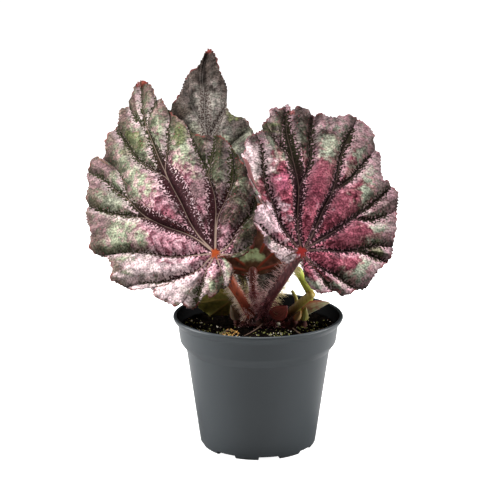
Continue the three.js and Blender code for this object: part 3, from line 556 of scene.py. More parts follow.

# The stalk meets a blade at "at"; "face" is the way its upper side looks and "tip" the way its
# midrib runs. A blade's edge is a list of teeth and bays, and its patches are tinted blotches, both
# [right, up] of the stalk in mm; some patches are the leaf's own tints, some are painted shade
# where the blade lies in shadow or turns away, and some painted light where it is brightly lit.
# A vein's path is a list of [bearing from the tip, distance], and its dark band is one of
# [distance, half width on the left, on the right].
LEAVES = {
    "leaf_left": {
        "at": [-29.4, -14, 141.3],
        "face": [-0.2, -0.86, 0.42],
        "tip": [-0.389, 0.476, 0.789],
        "bow": 15,
        "curls": [[62, 28, 25, -9], [-150, 50, 12, 9]],
        "edge": [
            [-5, 158], [-9, 156], [-19, 142], [-26, 140], [-29, 133], [-33, 129], [-44, 120], [-48, 110],
            [-53, 109], [-55, 113], [-61, 110], [-66, 103], [-67, 93], [-72, 84], [-77, 66], [-76, 61],
            [-77, 56], [-82, 46], [-77, 38], [-73, 35], [-73, 20], [-76, 18], [-70, 10], [-64, 3],
            [-57, 0], [-53, 0], [-50, -5], [-50, -10], [-43, -19], [-38, -24], [-35, -22], [-31, -29],
            [-22, -26], [-16, -25], [-15, -28], [-10, -27], [-6, -25], [-1, -25], [3, -22], [7, -16],
            [4, -6], [1, -4], [5, -5], [18, -10], [27, -5], [36, 8], [41, 28], [43, 46], [39, 68],
            [38, 74], [33, 83], [24, 86], [16, 95], [14, 106], [11, 110], [6, 125], [5, 133], [2, 133],
            [1, 149],
        ],
        # The shade and umber patches on the right half are painted shade where leaf_right shadows the blade,
        # partly its own olive brown; the two pale ones on the lower left lobe are painted light.
        "patches": [
            [25, 26, 22, "shade"], [36, 58, 30, "umber"], [24, -3, 16, "shade"], [-3, 26, 8, "umber"],
            [-20, 41, 8, "rose"], [4, 46, 10, "mauve"], [-8, 44, 9, "umber"], [9, 95, 9, "olive"],
            [-24, 106, 12, "olive"], [-58, 101, 13, "mauve"], [-66, 60, 10, "mauve"],
            [-57, 70, 10, "silver"], [-33, -8, 22, "pale"], [-53, 8, 20, "pale"], [-3, 154, 6, "red"],
        ],
        "veins": {
            "mid": {"path": [[-20, 16], [-11, 43], [-9, 69], [-7, 97], [-6, 118], [-2, 158]],
                    "band": [[10, 2, 4], [17, 3, 6.5], [30, 3.5, 9.5], [45, 3.5, 10], [57, 6.5, 11],
                             [70, 7, 9], [80, 5, 5.5], [98, 3, 3], [116, 2, 2], [135, 1, 1], [153, 0, 0]]},
            "mid_east": {"from": "mid", "path": [[-6, 79], [-1, 93], [1, 105], [3, 112]],
                         "band": [[79, 2, 3], [93, 1.5, 3], [105, 1, 2], [112, 0, 0]]},
            "high": {"from": "mid", "path": [[-9, 69], [-13, 79], [-16, 95], [-15, 124], [-15, 140]],
                     "band": [[70, 2, 2], [97, 2.4, 2.4], [113, 2.3, 2.3], [128, 1.8, 1.8], [136, 0, 0]]},
            "high_west": {"from": "mid", "path": [[-6, 114], [-8, 126], [-8, 138]],
                          "band": [[114, 1, 1], [126, 1.6, 1.6], [138, 1, 1]]},
            "high_east": {"from": "mid", "path": [[-5, 120], [-1, 128], [1, 138]],
                          "band": [[120, 0.8, 0.8], [130, 1, 1], [138, 0, 0]]},
            "west": {"path": [[-27, 16], [-36, 39], [-37, 59], [-33, 79], [-32, 97], [-31, 111], [-32, 121]],
                     "band": [[20, 2.5, 3.5], [39, 4, 6.5], [59, 3.5, 7], [70, 2.5, 4], [79, 2, 2.2],
                              [97, 2, 2], [111, 1.6, 1.6], [121, 1, 1]]},
            "west_low": {"from": "west", "path": [[-37, 59], [-40, 67], [-42, 80], [-43, 93], [-43, 105]],
                         "band": [[59, 1.5, 1.5], [80, 2, 2], [93, 2, 2], [105, 1, 1]]},
            "west_high": {"from": "west", "path": [[-33, 79], [-29, 87], [-25, 99]],
                          "band": [[79, 0.8, 0.8], [87, 1, 1.5], [99, 0.5, 1]]},
            "level": {"path": [[-70, 10], [-68, 32], [-63, 47], [-62, 65], [-64, 79]],
                      "band": [[10, 1.2, 1.6], [32, 0.8, 1.4], [47, 0.8, 1.6], [65, 0.5, 0.8], [79, 0, 0.5]]},
            "low": {"path": [[-108, 5], [-113, 13], [-102, 23], [-96, 35], [-84, 58]],
                    "band": [[5, 1, 1], [23, 1.3, 1.3], [35, 1.5, 1.8], [45, 1.2, 1.2], [58, 0.5, 0.5]]},
            "south": {"path": [[-129, 15], [-132, 21], [-135, 33], [-136, 38]],
                      "band": [[15, 0.8, 0.8], [21, 1.5, 1], [33, 3, 2.5], [38, 2, 2]]},
            "foot": {"path": [[-175, 5], [-178, 15], [-168, 27]],
                     "band": [[9, 1, 1], [17, 0.5, 0.5], [27, 0, 0]]},
            "east": {"path": [[22, 20], [23, 31], [21, 42], [16, 58], [11, 80], [9, 98]],
                     "band": [[10, 4, 3], [18, 5, 3.5], [30, 6, 4.2], [44, 5, 3.2], [55, 2.2, 2.2],
                              [73, 1.3, 1.5], [85, 1.2, 1.2], [98, 0.8, 0.8]]},
            "east_fork": {"from": "east", "path": [[16, 58], [20, 75], [21, 89]],
                          "band": [[58, 1.6, 2], [62, 2.5, 2.5], [75, 2.6, 2.8], [81, 1.5, 1.5],
                                   [90, 0.5, 0.5]]},
            "east_low": {"path": [[25, 26], [33, 37], [35, 53], [28, 84]],
                         "band": [[28, 2.5, 2.5], [45, 2.6, 2.6], [57, 3, 2.5], [68, 2.5, 2], [84, 1, 1]]},
            "right": {"path": [[100, 3], [67, 19], [66, 34], [55, 50]],
                      "band": [[4, 1.5, 1.5], [15, 2, 2.5], [26, 2, 2], [50, 1.6, 1.6]]},
            "right_low": {"path": [[125, 8], [106, 21], [100, 28]],
                          "band": [[8, 1, 1], [16, 1.5, 1.5], [24, 2, 1.5]]},
        },
    },
    "leaf_right": {
        "at": [29.3, -30, 146.2],
        "face": [0.16, -0.87, 0.42],
        "tip": [-0.082, 0.421, 0.903],
        "bow": 13,
        "curls": [[-75, 24, 14, 16], [140, 40, 14, 9], [0, 12, 60, -8]],
        "edge": [
            [5, 112], [6, 106], [11, 109], [22, 101], [25, 102], [30, 98], [45, 99], [52, 98], [61, 85],
            [61, 78], [64, 70], [63, 61], [64, 49], [68, 49], [73, 40], [71, 26], [67, 10], [64, -2],
            [62, -7], [51, -16], [46, -22], [41, -28], [36, -28], [32, -30], [25, -32], [24, -28],
            [16, -29], [9, -29], [4, -24], [2, -19], [0, -12], [-2, -4], [-8, -7], [-13, -6], [-18, -2],
            [-26, 7], [-25, 11], [-30, 19], [-30, 28], [-27, 33], [-24, 34], [-26, 39], [-31, 48],
            [-32, 55], [-31, 63], [-35, 70], [-32, 74], [-31, 82], [-24, 87], [-16, 92], [-17, 94],
            [-11, 101], [-8, 108], [-2, 108],
        ],
        # The big umber patch at the tip is painted shade where the tip falls back; the white and pale patches
        # on the left lobe are partly its silver and partly painted light.
        "patches": [
            [19, 53, 14, "rose"], [12, 38, 10, "wine"], [31, 33, 15, "rose"], [37, 10, 14, "rose"],
            [-9, 50, 8, "pink"], [-22, 22, 17, "white"], [-15, -2, 13, "pale"], [-27, 66, 17, "pale"],
            [46, 81, 9, "mauve"], [63, 30, 11, "mauve"], [-8, 92, 9, "olive"], [50, -1, 8, "olive"],
            [9, 90, 22, "umber"], [28, 76, 7, "silver"], [5, 104, 3, "red"],
        ],
        "veins": {
            "mid": {"path": [[-5, 11], [1, 30], [4, 44], [2, 58], [1, 69], [0, 82], [0, 93], [2, 107]],
                    "band": [[10, 2.6, 2.6], [20, 3, 3], [34, 4.4, 4.2], [50, 5.6, 5.8], [63, 7, 7],
                             [74, 5.5, 5.5], [84, 5, 4.6], [96, 3, 3], [107, 1, 1]]},
            "mid_east": {"from": "mid", "path": [[5, 49], [10, 56], [12, 63], [11, 83], [12, 98]],
                         "band": [[49, 1.8, 1.8], [63, 2.4, 2.4], [83, 2, 2], [98, 1, 1]]},
            "mid_tip": {"from": "mid", "path": [[1, 69], [-5, 75], [-7, 85], [-8, 92]],
                        "band": [[69, 1.8, 1.8], [85, 1.4, 1.4], [92, 0.5, 0.5]]},
            "north": {"path": [[38, 10], [32, 29], [32, 41], [32, 50], [30, 62], [28, 72], [27, 83],
                               [28, 103]],
                      "band": [[10, 2, 2], [26, 3.6, 3.6], [40, 3.4, 3], [51, 3.2, 2.8], [61, 3, 3],
                               [72, 2.6, 2.6], [83, 2.6, 2.6], [92, 4.5, 4.5], [99, 3, 3], [104, 0, 0]]},
            "north_fork": {"from": "north", "path": [[32, 51], [36, 58], [39, 66], [39, 77], [40, 89]],
                           "band": [[51, 2, 2], [61, 3, 2.8], [77, 2.4, 2.4], [89, 1.5, 1.5]]},
            "east": {"path": [[59, 11], [61, 23], [60, 34], [59, 47], [59, 55], [58, 72], [57, 81]],
                     "band": [[10, 2, 2], [16, 3, 3], [31, 2.9, 2.9], [40, 2.2, 2.2], [55, 2, 2],
                              [64, 2.6, 2.6], [81, 1.5, 1.5]]},
            "east_fork": {"from": "east", "path": [[60, 47], [66, 50], [69, 58], [69, 69]],
                          "band": [[47, 2, 2], [57, 2.8, 2.8], [69, 1.5, 1.5]]},
            "level": {"path": [[83, 9], [92, 23], [91, 37], [89, 43], [86, 53], [89, 60]],
                      "band": [[9, 1.8, 1.8], [25, 1.9, 1.9], [40, 2.3, 2.3], [60, 1.6, 1.6]]},
            "level_fork": {"from": "level", "path": [[91, 40], [95, 47], [97, 54], [99, 60]],
                           "band": [[40, 2.5, 2.5], [54, 2.5, 2.5], [62, 1, 1]]},
            "low": {"path": [[141, 8], [135, 17], [126, 26], [128, 35], [130, 41], [128, 46]],
                    "band": [[8, 1.6, 1.6], [26, 2, 2], [46, 1.5, 1.5]]},
            "south": {"path": [[156, 6], [143, 14], [145, 20], [148, 29], [145, 34]],
                      "band": [[6, 1, 1], [20, 1.6, 1.6], [34, 2, 2]]},
            "foot": {"path": [[180, 6], [178, 15], [172, 24]], "band": [[6, 0.8, 0.8], [24, 0, 0]]},
            "west": {"path": [[-36, 14], [-30, 27], [-25, 39], [-22, 51], [-20, 61], [-15, 73], [-14, 83]],
                     "band": [[14, 2, 2.6], [36, 1.4, 2.4], [53, 1.6, 1.8], [73, 2, 2], [83, 1, 1]]},
            "west_low": {"path": [[-70, 11], [-64, 20], [-56, 26], [-52, 33]],
                         "band": [[11, 1.2, 1.2], [33, 1, 1]]},
            "lobe": {"path": [[-95, 6], [-110, 14]], "band": [[6, -3, -3], [14, -4, -4]]},
        },
    },
    "leaf_back": {
        "at": [-19.6, 36, 137.2],
        "face": [0.02, -0.93, 0.36],
        "tip": [-0.115, 0.356, 0.927],
        "bow": 11,
        "curls": [[28, 14, 70, 10], [0, 14, 95, -7]],
        "edge": [
            [0, 155], [5, 147], [6, 136], [10, 118], [8, 113], [8, 108], [10, 98], [14, 94], [21, 91],
            [26, 80], [32, 73], [37, 62], [41, 48], [45, 34], [47, 20], [49, 5], [48, -9], [43, -21],
            [35, -32], [26, -37], [18, -39], [12, -37], [10.5, -32], [9.3, -26], [8, -20], [5, -13],
            [2.5, -7], [1, -4.4], [0.6, -8], [-0.2, -14], [-0.9, -18], [-0.4, -22], [0.6, -27],
            [0.4, -33], [-5, -38], [-13, -39], [-22, -36], [-32, -29], [-41, -19], [-47, -6],
            [-51, 8], [-53, 22], [-53, 36], [-52, 52], [-50, 69], [-46, 83], [-41, 95], [-32, 108],
            [-23, 122], [-21, 127], [-17, 134], [-9, 140], [-5, 147],
        ],
        # The umber patch at the tip and the shade patches, high on the left and on the two lower lobes, are
        # painted shade.
        "patches": [
            [0, 150, 36, "umber"], [-28, 102, 10, "shade"], [-44, 62, 12, "mauve"], [-36, 92, 8, "mauve"],
            [19, 79, 8, "silver"], [12, 98, 8, "olive"], [-16, 84, 9, "silver"], [4, 70, 12, "silver"],
            [0, 154, 4, "red"], [22, -18, 30, "shade"], [-26, -18, 26, "shade"],
        ],
        "veins": {
            "mid": {"path": [[-5, 32], [-6, 63], [-6, 92], [-4, 106], [-3, 133], [0, 155]],
                    "band": [[60, 3, 3], [85, 5, 5], [100, 4.5, 4.5], [114, 3, 3.5], [122, 2, 2]]},
            "high_east": {"from": "mid", "path": [[-6, 76], [-2, 86], [5, 104]],
                          "band": [[78, 2, 2], [88, 4, 3], [99, 3, 3], [106, 0, 0]]},
            "high_west": {"from": "mid", "path": [[-6, 87], [-9, 103], [-10, 125]]},
            "low_east": {"from": "mid", "path": [[-6, 54], [10, 78], [17, 90]]},
            "low_west": {"from": "mid", "path": [[-7, 58], [-15, 87], [-18, 110]]},
            "east": {"path": [[20, 20], [28, 50], [27, 79]]},
            "east_low": {"path": [[45, 15], [46, 35], [44, 60]]},
            "right": {"path": [[76, 10], [73, 46]]},
            "right_foot": {"path": [[107, 8], [105, 46]]},
            "right_lobe": {"path": [[134, 8], [136, 42]]},
            "west": {"path": [[-25, 20], [-29, 50], [-29, 96]]},
            "west_low": {"path": [[-45, 15], [-46, 40], [-44, 75]]},
            "left": {"path": [[-75, 10], [-71, 50]]},
            "left_foot": {"path": [[-106, 8], [-104, 50]]},
            "left_lobe": {"path": [[-136, 8], [-138, 42]]},
        },
    },
    "leaf_centre": {
        "at": [-3.6, 18, 120.5],
        "face": [0.05, 0.95, -0.3],
        "tip": [-0.05, 0.3, 0.95],
        "bow": 4,
        "curls": [],
        "edge": [
            [0, 56], [5, 49], [9, 48], [13, 41], [18, 37], [20, 29], [24, 23], [23, 15], [25, 8],
            [21, 5], [18, 1.5], [10, -1.2], [4, -2.4], [0, -2.2], [-4, -2.4], [-10, -1.2], [-18, 1.5],
            [-21, 5], [-25, 9], [-23, 15], [-24, 23], [-20, 29], [-18, 37], [-13, 41], [-9, 48], [-5, 49],
        ],
        "patches": [[0, 8.5, 8.5, "green"]],
        "veins": {
            "mid": {"path": [[0, 5], [0, 56]]},
            "right_high": {"path": [[24, 6], [26, 41]]},
            "right": {"path": [[50, 6], [52, 31]]},
            "right_low": {"path": [[78, 6], [76, 25]]},
            "left_high": {"path": [[-24, 6], [-26, 41]]},
            "left": {"path": [[-50, 6], [-52, 31]]},
            "left_low": {"path": [[-78, 6], [-76, 25]]},
        },
    },
    "leaf_low": {
        "at": [-17.5, 5, 104],
        "face": [-0.15, 0.95, 0.3],
        "tip": [-0.97, -0.12, -0.05],
        "bow": 3,
        "curls": [[60, 30, 4, 4]],
        "edge": [
            [0, 28], [4, 25], [7, 24], [10, 20], [13, 17], [14, 11], [14, 5], [11, 0], [8, -4], [3, -4.5],
            [0, -2.2], [-3, -4], [-8, -3], [-9, 2], [-12, 6], [-11, 11], [-11, 17], [-8, 19], [-6, 24],
            [-3, 25],
        ],
        "veins": {
            "mid": {"path": [[0, 4], [0, 29]]},
            "upper": {"path": [[38, 4], [36, 20]]},
            "upper_low": {"path": [[80, 4], [76, 11]]},
            "lower": {"path": [[-38, 4], [-36, 20]]},
            "lower_low": {"path": [[-80, 4], [-76, 11]]},
        },
    },
}

COURSE_END = 200
COURSE = np.arange(0, COURSE_END + 1, 5)


def ease(value, low, high):
    """0 below low, 1 above high, and smooth between."""
    share = np.clip((value - low) / (high - low), 0, 1)
    return share * share * (3 - 2 * share)


def vein_course(veins, name):
    """A vein's bearing at each distance of COURSE; a branch first runs along its parent."""
    distances, bearings = [], []
    for bearing, distance in veins[name]["path"]:
        distances.append(distance)
        bearings.append(bearing)
    course = np.interp(COURSE, distances, bearings)
    if "from" in veins[name]:
        course = np.where(COURSE < distances[0], vein_course(veins, veins[name]["from"]), course)
    course[1:-1] = (course[:-2] + 2 * course[1:-1] + course[2:]) / 4
    return course


def at_distance(courses, distance):
    """The bearing of each course at those distances."""
    return np.stack([np.interp(distance, COURSE, course) for course in courses])


def blade_height(leaf, bearing, distance):
    """Height of a blade over its plane, in mm."""
    height = -leaf["bow"] * (distance / 100) ** 2
    for middle, spread, start, rise in leaf["curls"]:
        off = (bearing - middle + 180) % 360 - 180
        height += rise * np.exp(-((off / spread) ** 2)) * (np.maximum(0, distance - start) / 50) ** 1.5
    veins = at_distance([vein_course(leaf["veins"], vein) for vein in leaf["veins"]], distance)
    ahead = ((veins - bearing) % 360).min(0)
    behind = ((bearing - veins) % 360).min(0)
    width = np.radians(ahead + behind) * distance
    puff = np.sin(np.pi * behind / np.maximum(ahead + behind, 1e-6)) ** 0.8
    height += PLEAT * np.minimum(width, PLEAT_WIDEST) * puff * ease(distance, 4, 16)
    off_vein = np.radians(np.minimum(ahead, behind)) * distance
    height -= VALLEY * np.exp(-((off_vein / VALLEY_WIDTH) ** 2)) * ease(distance, 8, 30)
    side_veins = distance - QUILT_SWEEP * off_vein + np.where(ahead < behind, QUILT_STEP / 2, 0)
    quilt = np.abs(np.cos(np.pi * side_veins / QUILT_STEP)) ** 0.7 - 0.6
    height += QUILT * quilt * ease(off_vein, 1, 5) * ease(distance, 14, 32)
    return height


def through(points, per_span, closed=False):
    """Points on the smooth curve that passes through the given ones, per_span to a span."""
    fixed = [Vector(point) for point in points]
    if closed:
        fixed = fixed[-1:] + fixed + fixed[:2]
    else:
        fixed = [2 * fixed[0] - fixed[1], *fixed, 2 * fixed[-1] - fixed[-2]]
    found = []
    for a, b, c, d in zip(fixed, fixed[1:], fixed[2:], fixed[3:]):
        before, span, after = ((q - p).length ** 0.5 for p, q in ((a, b), (b, c), (c, d)))
        leave = ((b - a) / before - (c - a) / (before + span) + (c - b) / span) * span
        arrive = ((c - b) / span - (d - b) / (span + after) + (d - c) / after) * span
        for step in range(per_span):
            t = step / per_span
            found.append(
                b * (2 * t**3 - 3 * t**2 + 1) + leave * (t**3 - 2 * t**2 + t)
                + c * (3 * t**2 - 2 * t**3) + arrive * (t**3 - t**2)
            )
    return found if closed else found + [Vector(points[-1])]


def blade(name, leaf, rows, rim_step, upper, under):
    """A blade as a fan of fine columns from the stalk to the edge, with one along each main vein."""
    curve = np.array([point.to_2d() for point in through([(*p, 0) for p in leaf["edge"]], 12, closed=True)])
    closed = np.vstack([curve, curve[:1]])
    walked = np.concatenate([[0], np.cumsum(np.hypot(*np.diff(closed, axis=0).T))])
    columns = round(walked[-1] / rim_step)
    arc = np.arange(columns) * walked[-1] / columns
    rim = np.stack([np.interp(arc, walked, closed[:, axis]) for axis in (0, 1)], -1)
    rim_bearing = np.degrees(np.arctan2(rim[:, 0], rim[:, 1]))
    rim_distance = np.hypot(*rim.T)

    main = [vein_course(leaf["veins"], vein) for vein, form in leaf["veins"].items() if "from" not in form]
    veins = at_distance(main, rim_distance)
    ahead, behind = (veins - rim_bearing) % 360, (rim_bearing - veins) % 360
    before, after = behind.argmin(0), ahead.argmin(0)
    share_across = behind.min(0) / (behind.min(0) + ahead.min(0))
    for number in range(len(main)):
        column = np.minimum(ahead[number], behind[number]).argmin()
        turns = (veins[:, column] - veins[number, column]) % 360
        others = np.where(np.arange(len(main)) == number, 999, turns)
        before[column], after[column], share_across[column] = number, others.argmin(), 0

    shares = np.concatenate([np.linspace(0, 0.93, rows - len(EDGE_ROWS)), EDGE_ROWS])
    distance = shares[:, None] * rim_distance[None, :]
    veins = at_distance(main, distance)
    start = np.take_along_axis(veins, np.broadcast_to(before, (1, rows, columns)), 0)[0]
    end = np.take_along_axis(veins, np.broadcast_to(after, (1, rows, columns)), 0)[0]
    bearing = start + share_across * ((end - start) % 360)
    height = blade_height(leaf, bearing, distance)
    ruffle = np.sin(arc / RUFFLE_STEP + 2 * np.sin(arc / 21)) * ease(shares, 0.72, 1)[:, None]
    crimp = np.sin(arc / CRIMP_STEP + 1.5 * np.sin(arc / 9)) * ease(shares, 0.9, 1)[:, None]
    height += RUFFLE * leaf["size"] * (ruffle + 0.35 * crimp)
    across, along = distance * np.sin(np.radians(bearing)), distance * np.cos(np.radians(bearing))
    outward = np.roll(rim, -1, 0) - np.roll(rim, 1, 0)
    outward = np.stack([outward[:, 1], -outward[:, 0]], -1) / np.hypot(*outward.T)[:, None]
    if (outward * rim).sum() < 0:
        outward = -outward
    phase = arc / TOOTH_STEP + 0.9 * np.sin(arc / 5.3)
    saw = TOOTH * leaf["size"] * (np.abs(phase % 1 - 0.5) * 2 - 0.5)
    across[-1] += outward[:, 0] * saw
    along[-1] += outward[:, 1] * saw

    z = Vector(leaf["face"]).normalized()
    y = (Vector(leaf["tip"]) - z * Vector(leaf["tip"]).dot(z)).normalized()
    x = y.cross(z)
    stand = Matrix.Scale(MM, 4) @ Matrix.Translation(leaf["at"]) @ Matrix((x, y, z)).transposed().to_4x4()
    bm = bmesh.new()
    spoke = [bm.verts.new((share, 0, 0)) for share in shares]
    edges = [bm.edges.new(pair) for pair in zip(spoke, spoke[1:])]
    bmesh.ops.spin(bm, geom=spoke + edges, cent=(0, 0, 0), axis=(0, 0, 1), angle=math.tau,
                   steps=columns, use_merge=True)
    bmesh.ops.remove_doubles(bm, verts=bm.verts, dist=1e-5)
    mark = bm.verts.layers.float_vector.new("leaf")
    margin = bm.verts.layers.float.new("edge_gap")
    for vertex in bm.verts:
        share = vertex.co.xy.length
        row = int(np.abs(shares - share).argmin())
        column = round(math.atan2(vertex.co.y, vertex.co.x) / math.tau * columns) % columns
        flat = Vector((across[row, column], along[row, column], 0))
        pucker = leaf["size"] * sum(depth * noise.noise(flat * often) for depth, often in PUCKERS)
        vertex[mark] = (flat.x, flat.y, shares[row])
        vertex[margin] = (1 - shares[row]) * rim_distance[column]
        vertex.co = stand @ Vector((flat.x, flat.y, height[row, column] + pucker * min(flat.length / 15, 1)))
    bm.normal_update()
    if sum((face.normal.dot(z) for face in bm.faces), 0) < 0:
        bmesh.ops.reverse_faces(bm, faces=bm.faces)
    made = piece(name, bm, upper, under)
    skin = made.modifiers.new("thickness", "SOLIDIFY")
    skin.thickness = BLADE * MM
    skin.offset = 0
    skin.material_offset = 1
    return made


def fade(tree, value, low, high, start=0, end=1):
    """From start to end, smoothly, as the value goes from low to high."""
    sockets = {0: value, 1: low, 2: high, 3: start, 4: end}
    return put(tree, "ShaderNodeMapRange", sockets, interpolation_type="SMOOTHSTEP").outputs[0]


def chosen(tree, share, first, second):
    """The first number at a share of 0, the second at 1."""
    return put(tree, "ShaderNodeMix", {0: share, 2: first, 3: second}).outputs[0]


def product(tree, first, *others):
    for other in others:
        first = calc(tree, "MULTIPLY", first, other)
    return first


def cellular(tree, place, scale, feature):
    sockets = {"Vector": place, "Scale": scale}
    return put(tree, "ShaderNodeTexVoronoi", sockets, feature=feature).outputs["Distance"]


def brightened(tree, colour, value):
    return put(tree, "ShaderNodeHueSaturation", {"Color": colour, "Value": value}).outputs[0]


# One vein more: keeps the least distance in mm to any vein so far, the least distance to the
# border of a vein's dark band, below 0 inside it, and that band's half width. The course holds
# the vein's bearing and its band's half widths on the two sides. Slim makes a branch's line
# narrower.
BAND_LOW = -5
BAND_SPAN = 25
PLAIN_BAND = [[5, 0.5, 0.5], [60, 0.5, 0.5]]
BRANCH_SLIMMER = 0.2
vein_marks = dict.fromkeys(("near", "side", "band", "width", "line"), "Float")
nearer_vein, given, out = new_group(
    "nearer vein",
    {"turn": "Float", "distance": "Float", "course": "Color", "slim": "Float", **vein_marks}, vein_marks,
)
tree = nearer_vein
bearing, left, right = put(tree, "ShaderNodeSeparateColor", {0: given["course"]}).outputs
off = calc(tree, "WRAP", calc(tree, "SUBTRACT", given["turn"], bearing), 0.5, -0.5)
off = product(tree, off, math.tau, given["distance"])
side = calc(tree, "GREATER_THAN", off, 0)
width = calc(tree, "MULTIPLY_ADD", chosen(tree, side, left, right), BAND_SPAN, BAND_LOW)
off = calc(tree, "ABSOLUTE", off)
past = calc(tree, "SUBTRACT", off, width)
line = calc(tree, "MULTIPLY_ADD", given["slim"], BRANCH_SLIMMER, off)
closer = calc(tree, "LESS_THAN", off, given["near"])
tree.links.new(chosen(tree, closer, given["side"], side), out["side"])
deeper = calc(tree, "LESS_THAN", past, given["band"])
tree.links.new(chosen(tree, deeper, given["width"], width), out["width"])
for field, value in (("near", off), ("band", past), ("line", line)):
    tree.links.new(calc(tree, "MINIMUM", given[field], value), out[field])


def band_course(vein):
    """Half widths in mm of the dark band, left and right of a vein, at each distance of COURSE."""
    band = vein.get("band", PLAIN_BAND)
    reach = [band[0][0] - 5, *(step[0] for step in band), band[-1][0] + 8]
    for side in (1, 2):
        start = BAND_LOW if "from" in vein else band[0][side]
        yield np.interp(COURSE, reach, [start, *(step[side] for step in band), BAND_LOW])


blade_fields = {
    "plane": "Vector", "patch paint": "Color", **vein_marks,
    **dict.fromkeys(("turn", "distance", "share", "edge gap", "patch"), "Float"),
}
RAGGED_PATCH = 2.4
# Patch colours: the leaves' own tints, with shade and umber mostly used as painted shade, and pale and white
# partly as painted light.
TINTS_AND_PAINTED_LIGHT = {
    "umber": (36, 30, 25), "shade": (60, 52, 43), "wine": (92, 42, 54), "rose": (122, 64, 76),
    "pink": (176, 96, 118), "pale": (208, 184, 186), "white": (238, 204, 212), "mauve": (124, 98, 100),
    "silver": (146, 148, 130), "olive": (94, 100, 66), "green": (168, 186, 138), "red": (136, 54, 46),
}


def blade_marks(name, leaf):
    """The group that tells a blade's finish where each spot lies among its veins and patches."""
    tree, _, out = new_group(f"{name} marks", {}, blade_fields)
    spot = put(tree, "ShaderNodeAttribute", attribute_name="leaf").outputs["Vector"]
    gap = put(tree, "ShaderNodeAttribute", attribute_name="edge_gap").outputs["Fac"]
    x, y, share = put(tree, "ShaderNodeSeparateXYZ", {0: spot}).outputs
    plane = put(tree, "ShaderNodeCombineXYZ", {0: x, 1: y}).outputs[0]
    distance = put(tree, "ShaderNodeVectorMath", {0: plane}, operation="LENGTH").outputs["Value"]
    turn = calc(tree, "MULTIPLY_ADD", calc(tree, "ARCTAN2", x, y), 1 / math.tau, 0.5)
    along = calc(tree, "DIVIDE", distance, COURSE_END)
    found = {"near": 99.0, "side": 0.0, "band": 99.0, "width": 0.0, "line": 99.0}
    for vein, form in leaf["veins"].items():
        curve = put(tree, "ShaderNodeRGBCurve", {"Color": along})
        left, right = ((width - BAND_LOW) / BAND_SPAN for width in band_course(form))
        courses = (vein_course(leaf["veins"], vein) / 360 + 0.5, left, right)
        for channel, heights in zip(curve.mapping.curves, courses):
            points = channel.points
            points[0].location, points[1].location = (0, heights[0]), (1, heights[-1])
            for reach, height in zip(COURSE[1:-1] / COURSE_END, heights[1:-1]):
                points.new(reach, height)
            for point in points:
                point.handle_type = "VECTOR"
        curve.mapping.update()
        given = use_group(tree, nearer_vein, {
            "turn": turn, "distance": distance, "course": curve.outputs[0],
            "slim": 1.0 if "from" in form else 0.0, **found,
        })
        found = {field: given[field] for field in found}
    ragged = calc(tree, "SUBTRACT", grain(tree, plane, 0.14, 4), 0.5)
    patch, tint = 0.0, (0, 0, 0, 1)
    # Each patch blends its colour over the blade: the leaf's own tints, painted shade and painted light.
    for across, up, radius, colour in leaf.get("patches", []):
        ends = {0: plane, 1: (across, up, 0)}
        reach = put(tree, "ShaderNodeVectorMath", ends, operation="DISTANCE").outputs["Value"]
        reach = calc(tree, "MULTIPLY_ADD", ragged, RAGGED_PATCH * radius, reach)
        cover = fade(tree, reach, 1.15 * radius, 0.55 * radius)
        tint = mixed(tree, cover, tint, srgb(*TINTS_AND_PAINTED_LIGHT[colour]))
        patch = calc(tree, "MAXIMUM", patch, cover)
    found |= {"plane": plane, "turn": turn, "distance": distance, "share": share, "edge gap": gap,
              "patch": patch, "patch paint": tint}
    for field, value in found.items():
        if isinstance(value, bpy.types.NodeSocket):
            tree.links.new(value, out[field])
        else:
            out[field].default_value = value
    return tree


# The upper side of a rex blade: a dark band along each vein with a ragged speckled border,
# pink panels between them that turn silver green outwards, a mauve margin and red teeth, and
# painted light and shade on the folds along the veins.
# The lit side picks which flank of each vein's fold gets the painted highlight; the other flank gets painted
# shade.
FACE_SIZES = ("line width", "zone", "speckling", "lit side")
FACE_PAINTS = (
    "vein", "dark", "green", "speckle", "pink", "deep", "silver", "margin", "star", "tooth", "fleck",
)
SIDE_VEIN_SPACING = 3.4
face_marks, given, out = new_group(
    "blade face",
    {**blade_fields, **dict.fromkeys(FACE_SIZES, "Float"), **paint_fields(FACE_PAINTS)},
    {"colour": "Color", "roughness": "Float", "height": "Float"},
)
tree = face_marks
plane, distance, share = given["plane"], given["distance"], given["share"]
near, border, patch = given["near"], given["band"], given["patch"]
coarse, middle, fine = (grain(tree, plane, scale, 3) for scale in (0.1, 0.3, 0.8))
blush, flecks = grain(tree, plane, 0.17, 3), grain(tree, plane, 0.65, 1)
slow, quick = calc(tree, "SUBTRACT", middle, 0.5), calc(tree, "SUBTRACT", fine, 0.5)

# How far a spot is outside a dark band, whose border is torn, with small spurs along the side veins
side_veins = calc(tree, "MULTIPLY_ADD", near, -0.8, distance)
spurs = calc(tree, "SINE", calc(tree, "MULTIPLY", side_veins, math.tau / SIDE_VEIN_SPACING))
inside = calc(tree, "MULTIPLY_ADD", calc(tree, "MAXIMUM", given["width"], 0), given["speckling"], 5)
ragged = calc(tree, "MULTIPLY_ADD", calc(tree, "MAXIMUM", quick, 0), inside, border)
ragged = calc(tree, "MULTIPLY_ADD", calc(tree, "MINIMUM", quick, 0), 14, ragged)
ragged = calc(tree, "MULTIPLY_ADD", slow, 4, ragged)
ragged = calc(tree, "MULTIPLY_ADD", spurs, 0.5, ragged)

